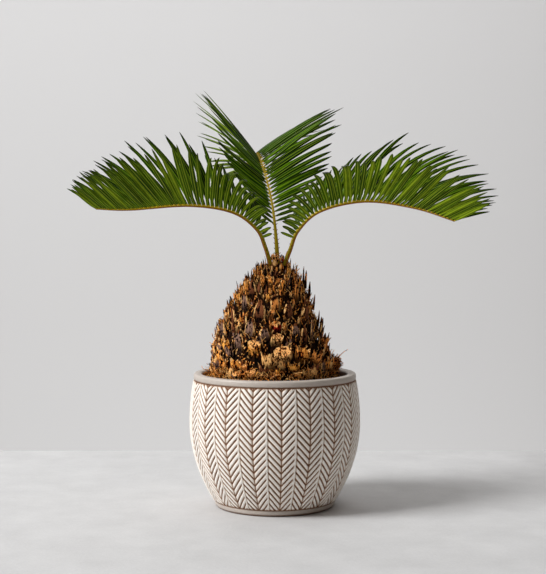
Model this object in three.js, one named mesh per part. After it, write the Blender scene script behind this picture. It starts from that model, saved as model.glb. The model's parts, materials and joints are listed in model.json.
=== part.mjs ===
// Young sago palm in a round glazed pot.
// Millimetres, +Z up, the front faces -Y and +X is to its right.
// The origin is the centre of the pot's flat underside.
import * as THREE from "three";

const CLEARANCE = 0.3;

// Pot: a flat underside, a plain foot band, a bellied wall and a plain rim.
const UNDERSIDE_RADIUS = 57.6;
const FOOT_RADIUS = 60.6;
const FOOT_HEIGHT = 6;
const WALL_FOOT_RADIUS = 61.6;
const BELLY_RADIUS = 85.6;
const BELLY_HEIGHT = 85;
const SHOULDER_RADIUS = 81.6;
const SHOULDER_HEIGHT = 126.5;
const RIM_RADIUS = 81.2;
const RIM_INNER_RADIUS = 72.6;
const POT_HEIGHT = 133.4;
const RIM_ROUNDING = 2.2;
const EDGE = 1;
const WALL_THICKNESS = 8.5;
const FLOOR_THICKNESS = 9;
const FLOOR_BEVEL = 5;
const INNER_FOOT_HEIGHT = FLOOR_THICKNESS + FLOOR_BEVEL;
const INNER_TOP_HEIGHT = SHOULDER_HEIGHT - 6;
const OUTER_STATIONS = 9;
const INNER_STATIONS = 6;
const POT_SEGMENTS = 48;

// Soil, filled to just below the rim.
const SOIL_HEIGHT = 125.7;
const SOIL_EDGE_DIP = 2.4;
const SOIL_EDGE_WIDTH = 5;

// Trunk: a bulb of old leaf bases, cut flat where it stands on the soil.
const TRUNK_FOOT_HEIGHT = SOIL_HEIGHT + CLEARANCE;
const TRUNK_TOP_HEIGHT = 239.7;
const TRUNK_APEX_HEIGHT = 246;
const TRUNK_RADIUS = 60.5;
const TRUNK_TAPER_START = 1.4;
const TRUNK_TAPER_END = 0.58;
const FLARE_WIDTH = 3;
const FLARE_HEIGHT = 7;
const TRUNK_LEAN_FOOT = -2;
const TRUNK_LEAN_MIDDLE = -6;
const TRUNK_LEAN_TOP = 3;
const ROOT_LUMP_REACH = 8;
const ROOT_LUMP_ANGLE = -0.12;
const ROOT_LUMP_SPREAD = 0.16;
const ROOT_LUMP_HEIGHT = 143;
const ROOT_LUMP_TALLNESS = 9;
const LEAF_BASE_RELIEF = 1.3;
const LEAF_BASES_AROUND = 8;
const LEAF_BASE_PITCH = 26;
const TRUNK_SEGMENTS = 40;
const TRUNK_RINGS = 15;

// Fronds: the rib thins from the stalk's foot to the tip.
const STALK_RADIUS = 2.5;
const RIB_RADII = [[0, 2.15], [0.14, 1.7], [0.32, 1.3], [0.6, 1], [1, 0.6]];
const BACK_RIB_RADII = [[0, 1.5], [0.25, 1.1], [0.6, 1], [1, 0.6]];
const RIB_SIDES = 8;
const RIB_STEP = 10;
const BLADE_SEAT = 0.5;
const BLADE_THICKNESS = 1;
const BLADE_TIP_THICKNESS = 0.7;
const BLADE_STEP = 13;
const BLADE_LINE_POINTS = 7;
const BENDS_PER_POINT = 5;
const BLADE_START = 0.07;
const JOIN_GAP = 0.6;

const GLAZE = { color: 0xd8ccc0, roughness: 0.45, metalness: 0 };
const SOIL = { color: 0x2e2018, roughness: 0.95, metalness: 0 };
const BARK = { color: 0x5c3a22, roughness: 0.9, metalness: 0 };
const STALK = { color: 0x8a8a2c, roughness: 0.55, metalness: 0 };
const LEAF = { color: 0x47601a, roughness: 0.5, metalness: 0 };

const UP = new THREE.Vector3(0, 0, 1);

const palm = new THREE.Group();

function addNode(name, geometry, finish) {
  const mesh = new THREE.Mesh(geometry, new THREE.MeshStandardMaterial(finish));
  mesh.name = name;
  palm.add(mesh);
}

// Reads a value off a short table of [share, value] pairs.
function valueAt(table, share) {
  for (let i = 1; i < table.length; i += 1) {
    const [start, low] = table[i - 1];
    const [end, high] = table[i];
    if (share <= end) {
      return THREE.MathUtils.mapLinear(Math.max(share, start), start, end, low, high);
    }
  }
  return table[table.length - 1][1];
}

function signedVolume(positions, index) {
  const corner = [new THREE.Vector3(), new THREE.Vector3(), new THREE.Vector3()];
  let volume = 0;
  for (let i = 0; i < index.length; i += 3) {
    corner.forEach((point, k) => point.fromArray(positions, 3 * index[i + k]));
    volume += corner[0].dot(corner[1].clone().cross(corner[2])) / 6;
  }
  return volume;
}

// A closed body through rings of the same even number of points. Each end
// is closed by strips that join the two halves of its ring.
function loft(rings) {
  const sides = rings[0].length;
  const positions = rings.flat().flatMap((point) => point.toArray());
  const index = [];
  for (let ring = 0; ring + 1 < rings.length; ring += 1) {
    for (let side = 0; side < sides; side += 1) {
      const a = ring * sides + side;
      const b = ring * sides + (side + 1) % sides;
      index.push(a, b, b + sides);
      index.push(a, b + sides, a + sides);
    }
  }
  const last = (rings.length - 1) * sides;
  for (let side = 0; side + 1 < sides / 2; side += 1) {
    const across = sides - 1 - side;
    index.push(side, across, side + 1);
    index.push(side + 1, across, across - 1);
    index.push(last + side, last + side + 1, last + across);
    index.push(last + side + 1, last + across - 1, last + across);
  }
  if (signedVolume(positions, index) < 0) {
    index.reverse();
  }
  const geometry = new THREE.BufferGeometry();
  geometry.setAttribute("position", new THREE.Float32BufferAttribute(positions, 3));
  geometry.setIndex(index);
  geometry.computeVertexNormals();
  return geometry;
}

// A solid of revolution about the pot's axis, from [radius, height] pairs.
function turned(profile) {
  const points = profile.map(([radius, height]) => new THREE.Vector2(radius, height));
  const geometry = new THREE.LatheGeometry(points, POT_SEGMENTS);
  geometry.rotateX(Math.PI / 2);
  return geometry;
}

// ---- Pot and soil --------------------------------------------------------

// The wall follows one parabola below the belly and another above it.
function wallRadius(height) {
  if (height < BELLY_HEIGHT) {
    const share = (BELLY_HEIGHT - height) / (BELLY_HEIGHT - FOOT_HEIGHT);
    return BELLY_RADIUS - (BELLY_RADIUS - WALL_FOOT_RADIUS) * share ** 2;
  }
  const share = (height - BELLY_HEIGHT) / (SHOULDER_HEIGHT - BELLY_HEIGHT);
  return BELLY_RADIUS - (BELLY_RADIUS - SHOULDER_RADIUS) * share ** 2;
}

function wallStations(from, to, count, inset) {
  const stations = [];
  for (let i = 0; i <= count; i += 1) {
    const height = THREE.MathUtils.lerp(from, to, i / count);
    stations.push([wallRadius(height) - inset, height]);
  }
  return stations;
}

function potGeometry() {
  const outer = wallStations(FOOT_HEIGHT + EDGE, SHOULDER_HEIGHT, OUTER_STATIONS, 0);
  const inner = wallStations(INNER_FOOT_HEIGHT, INNER_TOP_HEIGHT, INNER_STATIONS, WALL_THICKNESS);
  return turned([
    [0, 0],
    [UNDERSIDE_RADIUS, 0],
    [FOOT_RADIUS - EDGE, EDGE],
    [FOOT_RADIUS, FOOT_HEIGHT],
    ...outer,
    [RIM_RADIUS, SHOULDER_HEIGHT + EDGE],
    [RIM_RADIUS, POT_HEIGHT - RIM_ROUNDING],
    [RIM_RADIUS - RIM_ROUNDING, POT_HEIGHT],
    [RIM_INNER_RADIUS + RIM_ROUNDING, POT_HEIGHT],
    [RIM_INNER_RADIUS, POT_HEIGHT - RIM_ROUNDING],
    ...inner.reverse(),
    [wallRadius(FLOOR_THICKNESS) - WALL_THICKNESS - FLOOR_BEVEL, FLOOR_THICKNESS],
    [0, FLOOR_THICKNESS],
  ]);
}

function soilGeometry() {
  const gap = WALL_THICKNESS + CLEARANCE;
  const foot = INNER_FOOT_HEIGHT + CLEARANCE;
  const side = wallStations(foot, INNER_TOP_HEIGHT, INNER_STATIONS, gap);
  const floor = FLOOR_THICKNESS + CLEARANCE;
  const edge = SOIL_HEIGHT - SOIL_EDGE_DIP;
  return turned([
    [0, floor],
    [wallRadius(FLOOR_THICKNESS) - gap - FLOOR_BEVEL, floor],
    ...side,
    [RIM_INNER_RADIUS - CLEARANCE, edge],
    [RIM_INNER_RADIUS - SOIL_EDGE_WIDTH, SOIL_HEIGHT],
    [0, SOIL_HEIGHT],
  ]);
}

addNode("pot", potGeometry(), GLAZE);
addNode("soil", soilGeometry(), SOIL);

// ---- Trunk -----------------------------------------------------------------

function trunkCentre(height) {
  const share = (height - TRUNK_FOOT_HEIGHT) / (TRUNK_TOP_HEIGHT - TRUNK_FOOT_HEIGHT);
  const bow = 4 * share * (1 - share);
  const straight = THREE.MathUtils.lerp(TRUNK_LEAN_FOOT, TRUNK_LEAN_TOP, share);
  const middle = (TRUNK_LEAN_FOOT + TRUNK_LEAN_TOP) / 2;
  return straight + (TRUNK_LEAN_MIDDLE - middle) * bow;
}

function trunkRadius(height) {
  const share = (height - TRUNK_FOOT_HEIGHT) / (TRUNK_APEX_HEIGHT - TRUNK_FOOT_HEIGHT);
  const taper = (1 - share ** TRUNK_TAPER_START) ** TRUNK_TAPER_END;
  const flare = FLARE_WIDTH * Math.exp(-(height - TRUNK_FOOT_HEIGHT) / FLARE_HEIGHT);
  return TRUNK_RADIUS * taper + flare;
}

// Leaf bases stand in crossing spirals, so the relief is a leaning lattice.
function leafBaseRelief(angle, height, radius) {
  const around = LEAF_BASES_AROUND * angle;
  const along = 2 * Math.PI * height / LEAF_BASE_PITCH;
  const wave = Math.sin(around + along) * Math.sin(around - along);
  return LEAF_BASE_RELIEF * wave * radius / TRUNK_RADIUS;
}

function rootLump(angle, height) {
  const sideways = (angle - ROOT_LUMP_ANGLE) / ROOT_LUMP_SPREAD;
  const upright = (height - ROOT_LUMP_HEIGHT) / ROOT_LUMP_TALLNESS;
  return ROOT_LUMP_REACH * Math.exp(-(sideways ** 2) - upright ** 2);
}

function trunkGeometry() {
  const rings = [];
  for (let i = 0; i <= TRUNK_RINGS; i += 1) {
    const height = THREE.MathUtils.lerp(TRUNK_FOOT_HEIGHT, TRUNK_TOP_HEIGHT, i / TRUNK_RINGS);
    const radius = trunkRadius(height);
    const ring = [];
    for (let k = 0; k < TRUNK_SEGMENTS; k += 1) {
      const angle = -Math.PI + 2 * Math.PI * k / TRUNK_SEGMENTS;
      const reach = radius + leafBaseRelief(angle, height, radius) + rootLump(angle, height);
      const x = trunkCentre(height) + reach * Math.cos(angle);
      ring.push(new THREE.Vector3(x, reach * Math.sin(angle), height));
    }
    rings.push(ring);
  }
  return loft(rings);
}

addNode("trunk", trunkGeometry(), BARK);

// The dry stub of an old stalk beside the green ones.
const STUB_FOOT = new THREE.Vector3(0.4, -8.4, TRUNK_TOP_HEIGHT + CLEARANCE);
const STUB_TIP = new THREE.Vector3(0.6, -9.6, 252);
const STUB_RADII = [2.2, 2.5, 3.1, 2.7];

function flatRing(centre, radius, sides) {
  const ring = [];
  for (let k = 0; k < sides; k += 1) {
    const angle = 2 * Math.PI * k / sides;
    const spoke = new THREE.Vector3(Math.cos(angle), Math.sin(angle), 0);
    ring.push(centre.clone().addScaledVector(spoke, radius));
  }
  return ring;
}

const stubRings = STUB_RADII.map((radius, i) => {
  const centre = STUB_FOOT.clone().lerp(STUB_TIP, i / (STUB_RADII.length - 1));
  return flatRing(centre, radius, RIB_SIDES);
});
addNode("old_stalk_stub", loft(stubRings), BARK);

// ---- Fronds ----------------------------------------------------------------

// Each frond: the route of its rib from the trunk's top, the distance along
// it where leaflets begin, the share where it is split at its bend, the
// direction of its right-hand row, and the direction its upper face looks.
// A row's tables give, against the share of the leafy stretch, the leaflets'
// angle from the rib, their rise above the frond's own plane and how far
// they arch over, in degrees, and their length. Pull is the way they arch:
// towards the tip, sideways and up. Curl says how late they arch: 1 bends a
// leaflet evenly and 3 only towards its end.
const NEAR_ROW = {
  side: 1,
  angle: [[0, 90], [0.15, 90], [0.35, 76], [0.6, 57], [1, 40]],
  rise: [[0, 78], [0.08, 58], [0.3, 64], [1, 56]],
  arch: [[0, 6], [0.08, 14], [0.15, 50], [0.22, 100], [0.34, 72], [0.5, 34], [1, 14]],
  length: [[0, 12], [0.12, 33], [0.2, 50], [0.3, 66], [0.45, 78], [0.6, 80], [0.85, 61], [1, 34]],
  pull: [0, 0.7, -0.4],
  curl: 2.4,
};
const FAR_ROW = {
  side: -1,
  angle: [[0, 90], [0.15, 88], [0.35, 74], [0.6, 57], [1, 42]],
  rise: [[0, 30], [0.18, 45], [0.35, 68], [1, 62]],
  arch: [[0, 10], [0.4, 18], [1, 12]],
  length: [[0, 14], [0.12, 28], [0.2, 40], [0.35, 76], [0.5, 84], [0.7, 72], [1, 34]],
  pull: [0.7, 0.2, -0.1],
  curl: 1.3,
};
const BACK_ROW = {
  arch: [[0, 12], [1, 12]],
  curl: 1.4,
};
const FRONDS = {
  left: {
    route: [
      [-4, -3, 240],
      [-9, -6, 258],
      [-18, -10, 277],
      [-42, -19, 293.5],
      [-84, -32, 299.4],
      [-140, -47, 295.2],
      [-172, -56, 296],
    ],
    leafyFrom: 31,
    split: 0.4,
    sideways: [-0.3, -1, 0],
    upperFace: [0.6, 0, 1],
    rows: { near: NEAR_ROW, far: FAR_ROW },
  },
  right: {
    route: [
      [9, -3, 240],
      [15, -6, 256],
      [23, -10, 275.5],
      [45, -20, 294.5],
      [88, -34, 303.5],
      [135, -50, 296.5],
      [172, -59, 284],
    ],
    leafyFrom: 31,
    split: 0.4,
    sideways: [0.3, -1, 0],
    upperFace: [-0.6, 0, 1],
    rows: {
      near: {
        ...NEAR_ROW,
        angle: [[0, 86], [0.15, 84], [0.35, 78], [0.6, 59], [1, 45]],
        arch: [[0, 8], [0.12, 36], [0.3, 80], [0.5, 72], [0.65, 45], [1, 12]],
        length: [[0, 17], [0.12, 35], [0.2, 50], [0.35, 62], [0.6, 70], [0.85, 62], [1, 40]],
      },
      far: {
        ...FAR_ROW,
        angle: [[0, 88], [0.15, 84], [0.35, 68], [0.6, 60], [1, 46]],
        arch: [[0, 10], [0.4, 38], [0.7, 30], [1, 14]],
        length: [[0, 12], [0.12, 24], [0.25, 46], [0.4, 84], [0.6, 96], [0.85, 74], [1, 36]],
      },
    },
  },
  back: {
    route: [
      [3, 5, 240],
      [1, 12, 271],
      [-3, 22, 304],
      [-11, 41, 337],
      [-19, 76, 356],
      [-27, 113, 352],
      [-33, 145, 336],
    ],
    leafyFrom: 44,
    split: 0.42,
    sideways: [-1, -0.15, 0],
    upperFace: [0, -1, 1],
    radii: BACK_RIB_RADII,
    rows: {
      left: {
        ...BACK_ROW,
        side: 1,
        angle: [[0, 52], [0.15, 49], [0.4, 51], [0.7, 58], [1, 30]],
        rise: [[0, 8], [0.25, 22], [0.5, 48], [1, 48]],
        length: [[0, 32], [0.12, 50], [0.33, 71], [0.42, 85], [0.5, 98], [0.65, 98], [0.85, 76], [1, 36]],
        pull: [0.6, 0.2, -0.1],
      },
      right: {
        ...BACK_ROW,
        side: -1,
        angle: [[0, 76], [0.15, 72], [0.3, 70], [0.7, 70], [1, 36]],
        rise: [[0, 8], [0.25, 20], [0.5, 31], [1, 34]],
        length: [[0, 38], [0.12, 56], [0.35, 88], [0.5, 106], [0.65, 110], [0.85, 80], [1, 38]],
        pull: [0, 0.3, -0.6],
      },
    },
  },
};

function ribRadius(frond, distance) {
  const radii = frond.radii ?? RIB_RADII;
  if (distance < frond.leafyFrom) {
    return THREE.MathUtils.lerp(STALK_RADIUS, radii[0][1], distance / frond.leafyFrom);
  }
  return valueAt(radii, (distance - frond.leafyFrom) / (frond.span - frond.leafyFrom));
}

// The rib's centre and its own axes at a distance from its foot.
function ribFrame(frond, distance) {
  const share = THREE.MathUtils.clamp(distance / frond.span, 0, 1);
  const centre = frond.curve.getPointAt(share);
  const along = frond.curve.getTangentAt(share);
  const side = new THREE.Vector3(...frond.sideways);
  side.addScaledVector(along, -side.dot(along)).normalize();
  const face = side.clone().cross(along);
  if (face.dot(new THREE.Vector3(...frond.upperFace)) < 0) {
    face.negate();
  }
  return { centre, along, side, face };
}

function ribRing(frond, distance) {
  const { centre, side, face } = ribFrame(frond, distance);
  const radius = ribRadius(frond, distance);
  const ring = [];
  for (let k = 0; k < RIB_SIDES; k += 1) {
    const angle = 2 * Math.PI * (k + 0.5) / RIB_SIDES;
    const point = centre.clone();
    point.addScaledVector(side, radius * Math.cos(angle));
    point.addScaledVector(face, radius * Math.sin(angle));
    ring.push(point);
  }
  return ring;
}

function ribGeometry(frond, from, to) {
  const steps = Math.ceil((to - from) / RIB_STEP);
  const rings = [];
  for (let i = 0; i <= steps; i += 1) {
    rings.push(ribRing(frond, THREE.MathUtils.lerp(from, to, i / steps)));
  }
  if (from === 0) {
    const foot = frond.curve.getPointAt(0);
    rings[0] = rings[0].map((point) => new THREE.Vector3(point.x, point.y, foot.z));
  }
  return loft(rings);
}

// The middle line of the leaflet at a share of the leafy stretch. It starts
// just off the rib and arches over, late where its curl is high.
function leafletLine(frond, row, share) {
  const distance = THREE.MathUtils.lerp(frond.leafyFrom, frond.span, share);
  const { centre, along, side, face } = ribFrame(frond, distance);
  side.multiplyScalar(row.side);
  const angle = THREE.MathUtils.degToRad(valueAt(row.angle, share));
  const rise = THREE.MathUtils.degToRad(valueAt(row.rise, share));
  const arch = THREE.MathUtils.degToRad(valueAt(row.arch, share));
  const length = valueAt(row.length, share);
  const outward = side.clone().multiplyScalar(Math.cos(rise));
  outward.addScaledVector(face, Math.sin(rise));
  const start = along.clone().multiplyScalar(Math.cos(angle));
  start.addScaledVector(outward, Math.sin(angle));
  const pull = along.clone().multiplyScalar(row.pull[0]);
  pull.addScaledVector(side, row.pull[1]);
  pull.addScaledVector(UP, row.pull[2]);
  pull.addScaledVector(start, -pull.dot(start)).normalize();
  const clear = ribRadius(frond, distance) + BLADE_SEAT;
  const bends = BENDS_PER_POINT * (BLADE_LINE_POINTS - 1);
  const point = centre.clone();
  const points = [];
  for (let i = 0; i <= bends; i += 1) {
    if (i % BENDS_PER_POINT === 0) {
      points.push(point.clone().addScaledVector(outward, clear * (1 - i / bends)));
    }
    const bend = arch * ((i + 0.5) / bends) ** row.curl;
    point.addScaledVector(start, length * Math.cos(bend) / bends);
    point.addScaledVector(pull, length * Math.sin(bend) / bends);
  }
  return { points, along };
}

// One ring of a blade: up its front face along the leaflet, down its back.
function bladeRing(frond, row, share) {
  const { points, along } = leafletLine(frond, row, share);
  const front = [];
  const back = [];
  points.forEach((point, i) => {
    const before = points[Math.max(i - 1, 0)];
    const after = points[Math.min(i + 1, points.length - 1)];
    const normal = after.clone().sub(before).cross(along).normalize();
    const reach = i / (points.length - 1);
    const half = THREE.MathUtils.lerp(BLADE_THICKNESS, BLADE_TIP_THICKNESS, reach) / 2;
    front.push(point.clone().addScaledVector(normal, half));
    back.push(point.clone().addScaledVector(normal, -half));
  });
  return [...front, ...back.reverse()];
}

function bladeGeometry(frond, row, from, to) {
  const leafy = frond.span - frond.leafyFrom;
  const steps = Math.ceil((to - from) * leafy / BLADE_STEP);
  const rings = [];
  for (let i = 0; i <= steps; i += 1) {
    rings.push(bladeRing(frond, row, THREE.MathUtils.lerp(from, to, i / steps)));
  }
  return loft(rings);
}

for (const [name, frond] of Object.entries(FRONDS)) {
  const stations = frond.route.map((place) => new THREE.Vector3(...place));
  frond.curve = new THREE.CatmullRomCurve3(stations, false, "catmullrom", 0.5);
  frond.span = frond.curve.getLength();
  const leafy = frond.span - frond.leafyFrom;
  const bend = frond.leafyFrom + frond.split * leafy;
  const joint = frond.leafyFrom;
  addNode(`${name}_stalk`, ribGeometry(frond, 0, joint), STALK);
  addNode(`${name}_rib_inner`, ribGeometry(frond, joint + CLEARANCE, bend), STALK);
  addNode(`${name}_rib_outer`, ribGeometry(frond, bend + CLEARANCE, frond.span), STALK);
  for (const [rowName, row] of Object.entries(frond.rows)) {
    const inner = bladeGeometry(frond, row, BLADE_START, frond.split);
    const outer = bladeGeometry(frond, row, frond.split + JOIN_GAP / leafy, 1);
    addNode(`${name}_${rowName}_blade_inner`, inner, LEAF);
    addNode(`${name}_${rowName}_blade_outer`, outer, LEAF);
  }
}

export default palm;
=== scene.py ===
import json
import math
import random

import bpy
import numpy as np
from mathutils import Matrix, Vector

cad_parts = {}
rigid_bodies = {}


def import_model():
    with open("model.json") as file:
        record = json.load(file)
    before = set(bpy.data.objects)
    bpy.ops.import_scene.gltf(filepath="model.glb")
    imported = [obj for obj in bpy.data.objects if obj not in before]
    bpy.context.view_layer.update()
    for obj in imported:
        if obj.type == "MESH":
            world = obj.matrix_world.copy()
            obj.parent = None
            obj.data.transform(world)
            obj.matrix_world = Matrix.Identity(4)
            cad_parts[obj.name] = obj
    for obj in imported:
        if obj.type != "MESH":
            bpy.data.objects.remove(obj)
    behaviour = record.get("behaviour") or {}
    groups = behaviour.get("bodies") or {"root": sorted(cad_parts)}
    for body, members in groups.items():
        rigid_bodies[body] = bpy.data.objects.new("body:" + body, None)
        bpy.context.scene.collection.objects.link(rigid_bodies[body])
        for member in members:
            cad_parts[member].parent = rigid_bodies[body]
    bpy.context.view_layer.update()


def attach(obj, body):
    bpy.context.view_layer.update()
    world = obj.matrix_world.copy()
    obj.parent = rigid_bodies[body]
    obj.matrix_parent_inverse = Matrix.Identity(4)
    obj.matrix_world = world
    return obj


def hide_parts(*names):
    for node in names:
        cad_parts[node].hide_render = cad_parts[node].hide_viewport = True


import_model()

# The shapes' sizes are in millimetres, and MM turns them into metres. The patterns of the
# finishes, the stage, the light and the camera are in metres.
MM = 0.001
UP = np.array([0.0, 0.0, 1.0])


# ---- Tools: node trees, finishes, recipes and meshes -----------------------------------

class Value:
    """What a node gives out. Plain arithmetic on it adds Math nodes."""

    def __init__(self, tree, socket):
        self.tree = tree
        self.socket = socket

    def __add__(self, other):
        return self.tree.math("ADD", self, other)

    def __sub__(self, other):
        return self.tree.math("SUBTRACT", self, other)

    def __rsub__(self, other):
        return self.tree.math("SUBTRACT", other, self)

    def __mul__(self, other):
        return self.tree.math("MULTIPLY", self, other)

    def __truediv__(self, other):
        return self.tree.math("DIVIDE", self, other)

    def __rtruediv__(self, other):
        return self.tree.math("DIVIDE", other, self)

    def __mod__(self, other):
        return self.tree.math("FLOORED_MODULO", self, other)


class Tree:
    """A node tree that is filled node by node."""

    def __init__(self, node_tree):
        self.nodes = node_tree.nodes
        self.links = node_tree.links

    def feed(self, socket, value):
        if isinstance(value, Value):
            self.links.new(value.socket, socket)
        else:
            socket.default_value = value

    def add(self, kind, given=None, out=0, **options):
        """One node: its options, what its inputs are given, and the output that is used."""
        node = self.nodes.new(kind)
        for option, choice in options.items():
            setattr(node, option, choice)
        for key, value in (given or {}).items():
            self.feed(node.inputs[key], value)
        return Value(self, node.outputs[out])

    def math(self, operation, *terms):
        return self.add("ShaderNodeMath", dict(enumerate(terms)), operation=operation)

    def fade(self, value, start, end):
        """Rises smoothly from 0 at start to 1 at end."""
        given = {"Value": value, "From Min": start, "From Max": end}
        return self.add("ShaderNodeMapRange", given, interpolation_type="SMOOTHSTEP")


def tint(red, green, blue):
    """A colour given as it looks on a screen, 0 to 255, in the renderer's own linear scale."""
    def linear(level):
        share = level / 255
        if share <= 0.04045:
            return share / 12.92
        return ((share + 0.055) / 1.055) ** 2.4
    return (linear(red), linear(green), linear(blue), 1.0)


class Finish(Tree):
    """A surface finish: one Principled shader and the pattern nodes that feed it."""

    def __init__(self, name, roughness, specular):
        self.material = bpy.data.materials.new(name)
        self.material.use_nodes = True
        super().__init__(self.material.node_tree)
        self.shader = self.nodes["Principled BSDF"]
        self.set("Roughness", roughness)
        self.set("Specular IOR Level", specular)

    def set(self, socket, value):
        self.feed(self.shader.inputs[socket], value)

    def place(self, stretch=(1.0, 1.0, 1.0)):
        """The point on the piece, stretched, in metres."""
        point = self.add("ShaderNodeTexCoord", out="Object")
        return self.add("ShaderNodeMapping", {"Vector": point, "Scale": stretch})

    def attribute(self, name):
        return self.add("ShaderNodeAttribute", out="Fac", attribute_name=name)

    def cloud(self, size, detail=3.0, roughness=0.5, stretch=(1.0, 1.0, 1.0)):
        """Soft noise between 0 and 1 whose lumps are about size metres across."""
        given = {
            "Vector": self.place(stretch),
            "Scale": 1 / size,
            "Detail": detail,
            "Roughness": roughness,
        }
        return self.add("ShaderNodeTexNoise", given)

    def mix(self, share, first, colour):
        """Turns what is there towards a plain colour by that share."""
        given = {0: share, 6: first, 7: tint(*colour)}
        return self.add("ShaderNodeMix", given, out=2, data_type="RGBA")

    def ramp(self, value, *stops):
        """Reads a colour off [share, colour] stops."""
        node = self.nodes.new("ShaderNodeValToRGB")
        self.feed(node.inputs[0], value)
        marks = node.color_ramp.elements
        while len(marks) < len(stops):
            marks.new(1.0)
        for mark, (share, colour) in zip(marks, stops):
            mark.position = share
            mark.color = tint(*colour)
        return Value(self, node.outputs["Color"])

    def bump(self, height, depth):
        given = {"Height": height, "Distance": depth, "Strength": 1.0}
        self.set("Normal", self.add("ShaderNodeBump", given))


class Recipe(Tree):
    """Geometry nodes that work on a piece's mesh, with their sizes as named inputs."""

    def __init__(self, name, **sizes):
        self.group = bpy.data.node_groups.new(name, "GeometryNodeTree")
        super().__init__(self.group)
        self.sizes = sizes
        sockets = self.group.interface
        for way in ("INPUT", "OUTPUT"):
            sockets.new_socket("Geometry", in_out=way, socket_type="NodeSocketGeometry")
        for size in sizes:
            sockets.new_socket(size, in_out="INPUT", socket_type="NodeSocketFloat")
        self.given = self.nodes.new("NodeGroupInput")
        self.made = self.nodes.new("NodeGroupOutput")

    def start(self):
        return Value(self, self.given.outputs["Geometry"])

    def size(self, name):
        return Value(self, self.given.outputs[name])

    def named(self, attribute, kind="FLOAT"):
        given = {"Name": attribute}
        return self.add("GeometryNodeInputNamedAttribute", given, data_type=kind)

    def store(self, geometry, attribute, value):
        given = {"Geometry": geometry, "Name": attribute, "Value": value}
        return self.add("GeometryNodeStoreNamedAttribute", given, data_type="FLOAT")

    def vector(self, x, y, z):
        return self.add("ShaderNodeCombineXYZ", {"X": x, "Y": y, "Z": z})

    def instead(self, number, chosen, other):
        """That number, or the other one where chosen is 1."""
        return number * (1 - chosen) + chosen * other

    def roughen(self, geometry, size, reach, detail=2.0):
        """Pushes every point about by soft noise: lumps of that size, moved by up to reach."""
        where = self.add("GeometryNodeInputPosition")
        given = {"Vector": where, "Scale": 1 / size, "Detail": detail}
        lumps = self.add("ShaderNodeTexNoise", given, out="Color")
        centred = self.add("ShaderNodeVectorMath", {0: lumps, 1: (0.5, 0.5, 0.5)},
                           operation="SUBTRACT")
        offset = self.add("ShaderNodeVectorMath", {0: centred, "Scale": reach * 2},
                          operation="SCALE")
        return self.add("GeometryNodeSetPosition", {"Geometry": geometry, "Offset": offset})

    def deal(self, geometry, finishes, number):
        """Gives each face the finish whose place in the list is the number that it carries."""
        geometry = self.add("GeometryNodeRealizeInstances", {"Geometry": geometry})
        for place, finish in enumerate(finishes):
            chosen = self.math("COMPARE", number, place, 0.5)
            given = {"Geometry": geometry, "Selection": chosen, "Material": finish.material}
            geometry = self.add("GeometryNodeSetMaterial", given)
        return geometry

    def run(self, piece, geometry):
        """Closes the tree on that geometry, works it on the piece and leaves a plain mesh."""
        self.links.new(geometry.socket, self.made.inputs["Geometry"])
        modifier = piece.modifiers.new(self.group.name, "NODES")
        modifier.node_group = self.group
        for item in self.group.interface.items_tree:
            if item.in_out == "INPUT" and item.name in self.sizes:
                modifier[item.identifier] = float(self.sizes[item.name])
        depsgraph = bpy.context.evaluated_depsgraph_get()
        worked = piece.evaluated_get(depsgraph)
        mesh = bpy.data.meshes.new_from_object(worked, depsgraph=depsgraph)
        piece.modifiers.clear()
        piece.data = mesh
        return piece


def make_piece(name, points, faces, finishes=(), edges=()):
    """A mesh object at the origin, from points in metres."""
    mesh = bpy.data.meshes.new(name)
    mesh.from_pydata([tuple(point) for point in points], edges, faces)
    for finish in finishes:
        mesh.materials.append(finish.material)
    piece = bpy.data.objects.new(name, mesh)
    bpy.context.scene.collection.objects.link(piece)
    return piece


def mark(piece, attribute, values, kind="FLOAT", domain="POINT"):
    """Stores one number, or one vector, for each point or face."""
    made = piece.data.attributes.new(attribute, kind, domain)
    field = "vector" if kind == "FLOAT_VECTOR" else "value"
    made.data.foreach_set(field, np.asarray(values, float).ravel())


def smooth(piece):
    for face in piece.data.polygons:
        face.use_smooth = True
    return piece


def settle(piece, slot, *nodes):
    """Sets a finished piece on the part's one body, in place of its CAD nodes."""
    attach(piece, "root")
    if nodes:
        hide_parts(*nodes)


def ring_faces(rings, sides):
    """Faces between rings of the same number of points, and across the two ends."""
    faces = []
    for ring in range(rings - 1):
        for side in range(sides):
            a = ring * sides + side
            b = ring * sides + (side + 1) % sides
            faces.append((a, b, b + sides, a + sides))
    faces.append(tuple(reversed(range(sides))))
    faces.append(tuple(range((rings - 1) * sides, rings * sides)))
    return faces


class Lines:
    """Lines that a recipe thickens, in millimetres, with numbers for each of their points."""

    def __init__(self):
        self.points = []
        self.edges = []
        self.numbers = {}

    def add(self, line, **numbers):
        first = len(self.points)
        self.points.extend(np.array(line) * MM)
        self.edges.extend((first + k, first + k + 1) for k in range(len(line) - 1))
        for name, values in numbers.items():
            self.numbers.setdefault(name, []).extend(np.broadcast_to(values, len(line)))

    def piece(self, name):
        piece = make_piece(name, self.points, [], edges=self.edges)
        for attribute, values in self.numbers.items():
            mark(piece, attribute, values)
        return piece


def spoke(angle):
    """The level way outwards at that angle, in radians."""
    return np.array([math.cos(angle), math.sin(angle), 0.0])


def blend(low, high, share):
    return low + (high - low) * share


def value_at(table, share):
    """Reads a value off a short table of [share, value] pairs."""
    return float(np.interp(share, [row[0] for row in table], [row[1] for row in table]))


def unit(vector):
    vector = np.asarray(vector, float)
    return vector / np.linalg.norm(vector)


# ---- Pot: a turned stoneware pot with a herringbone relief --------------------------------

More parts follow.
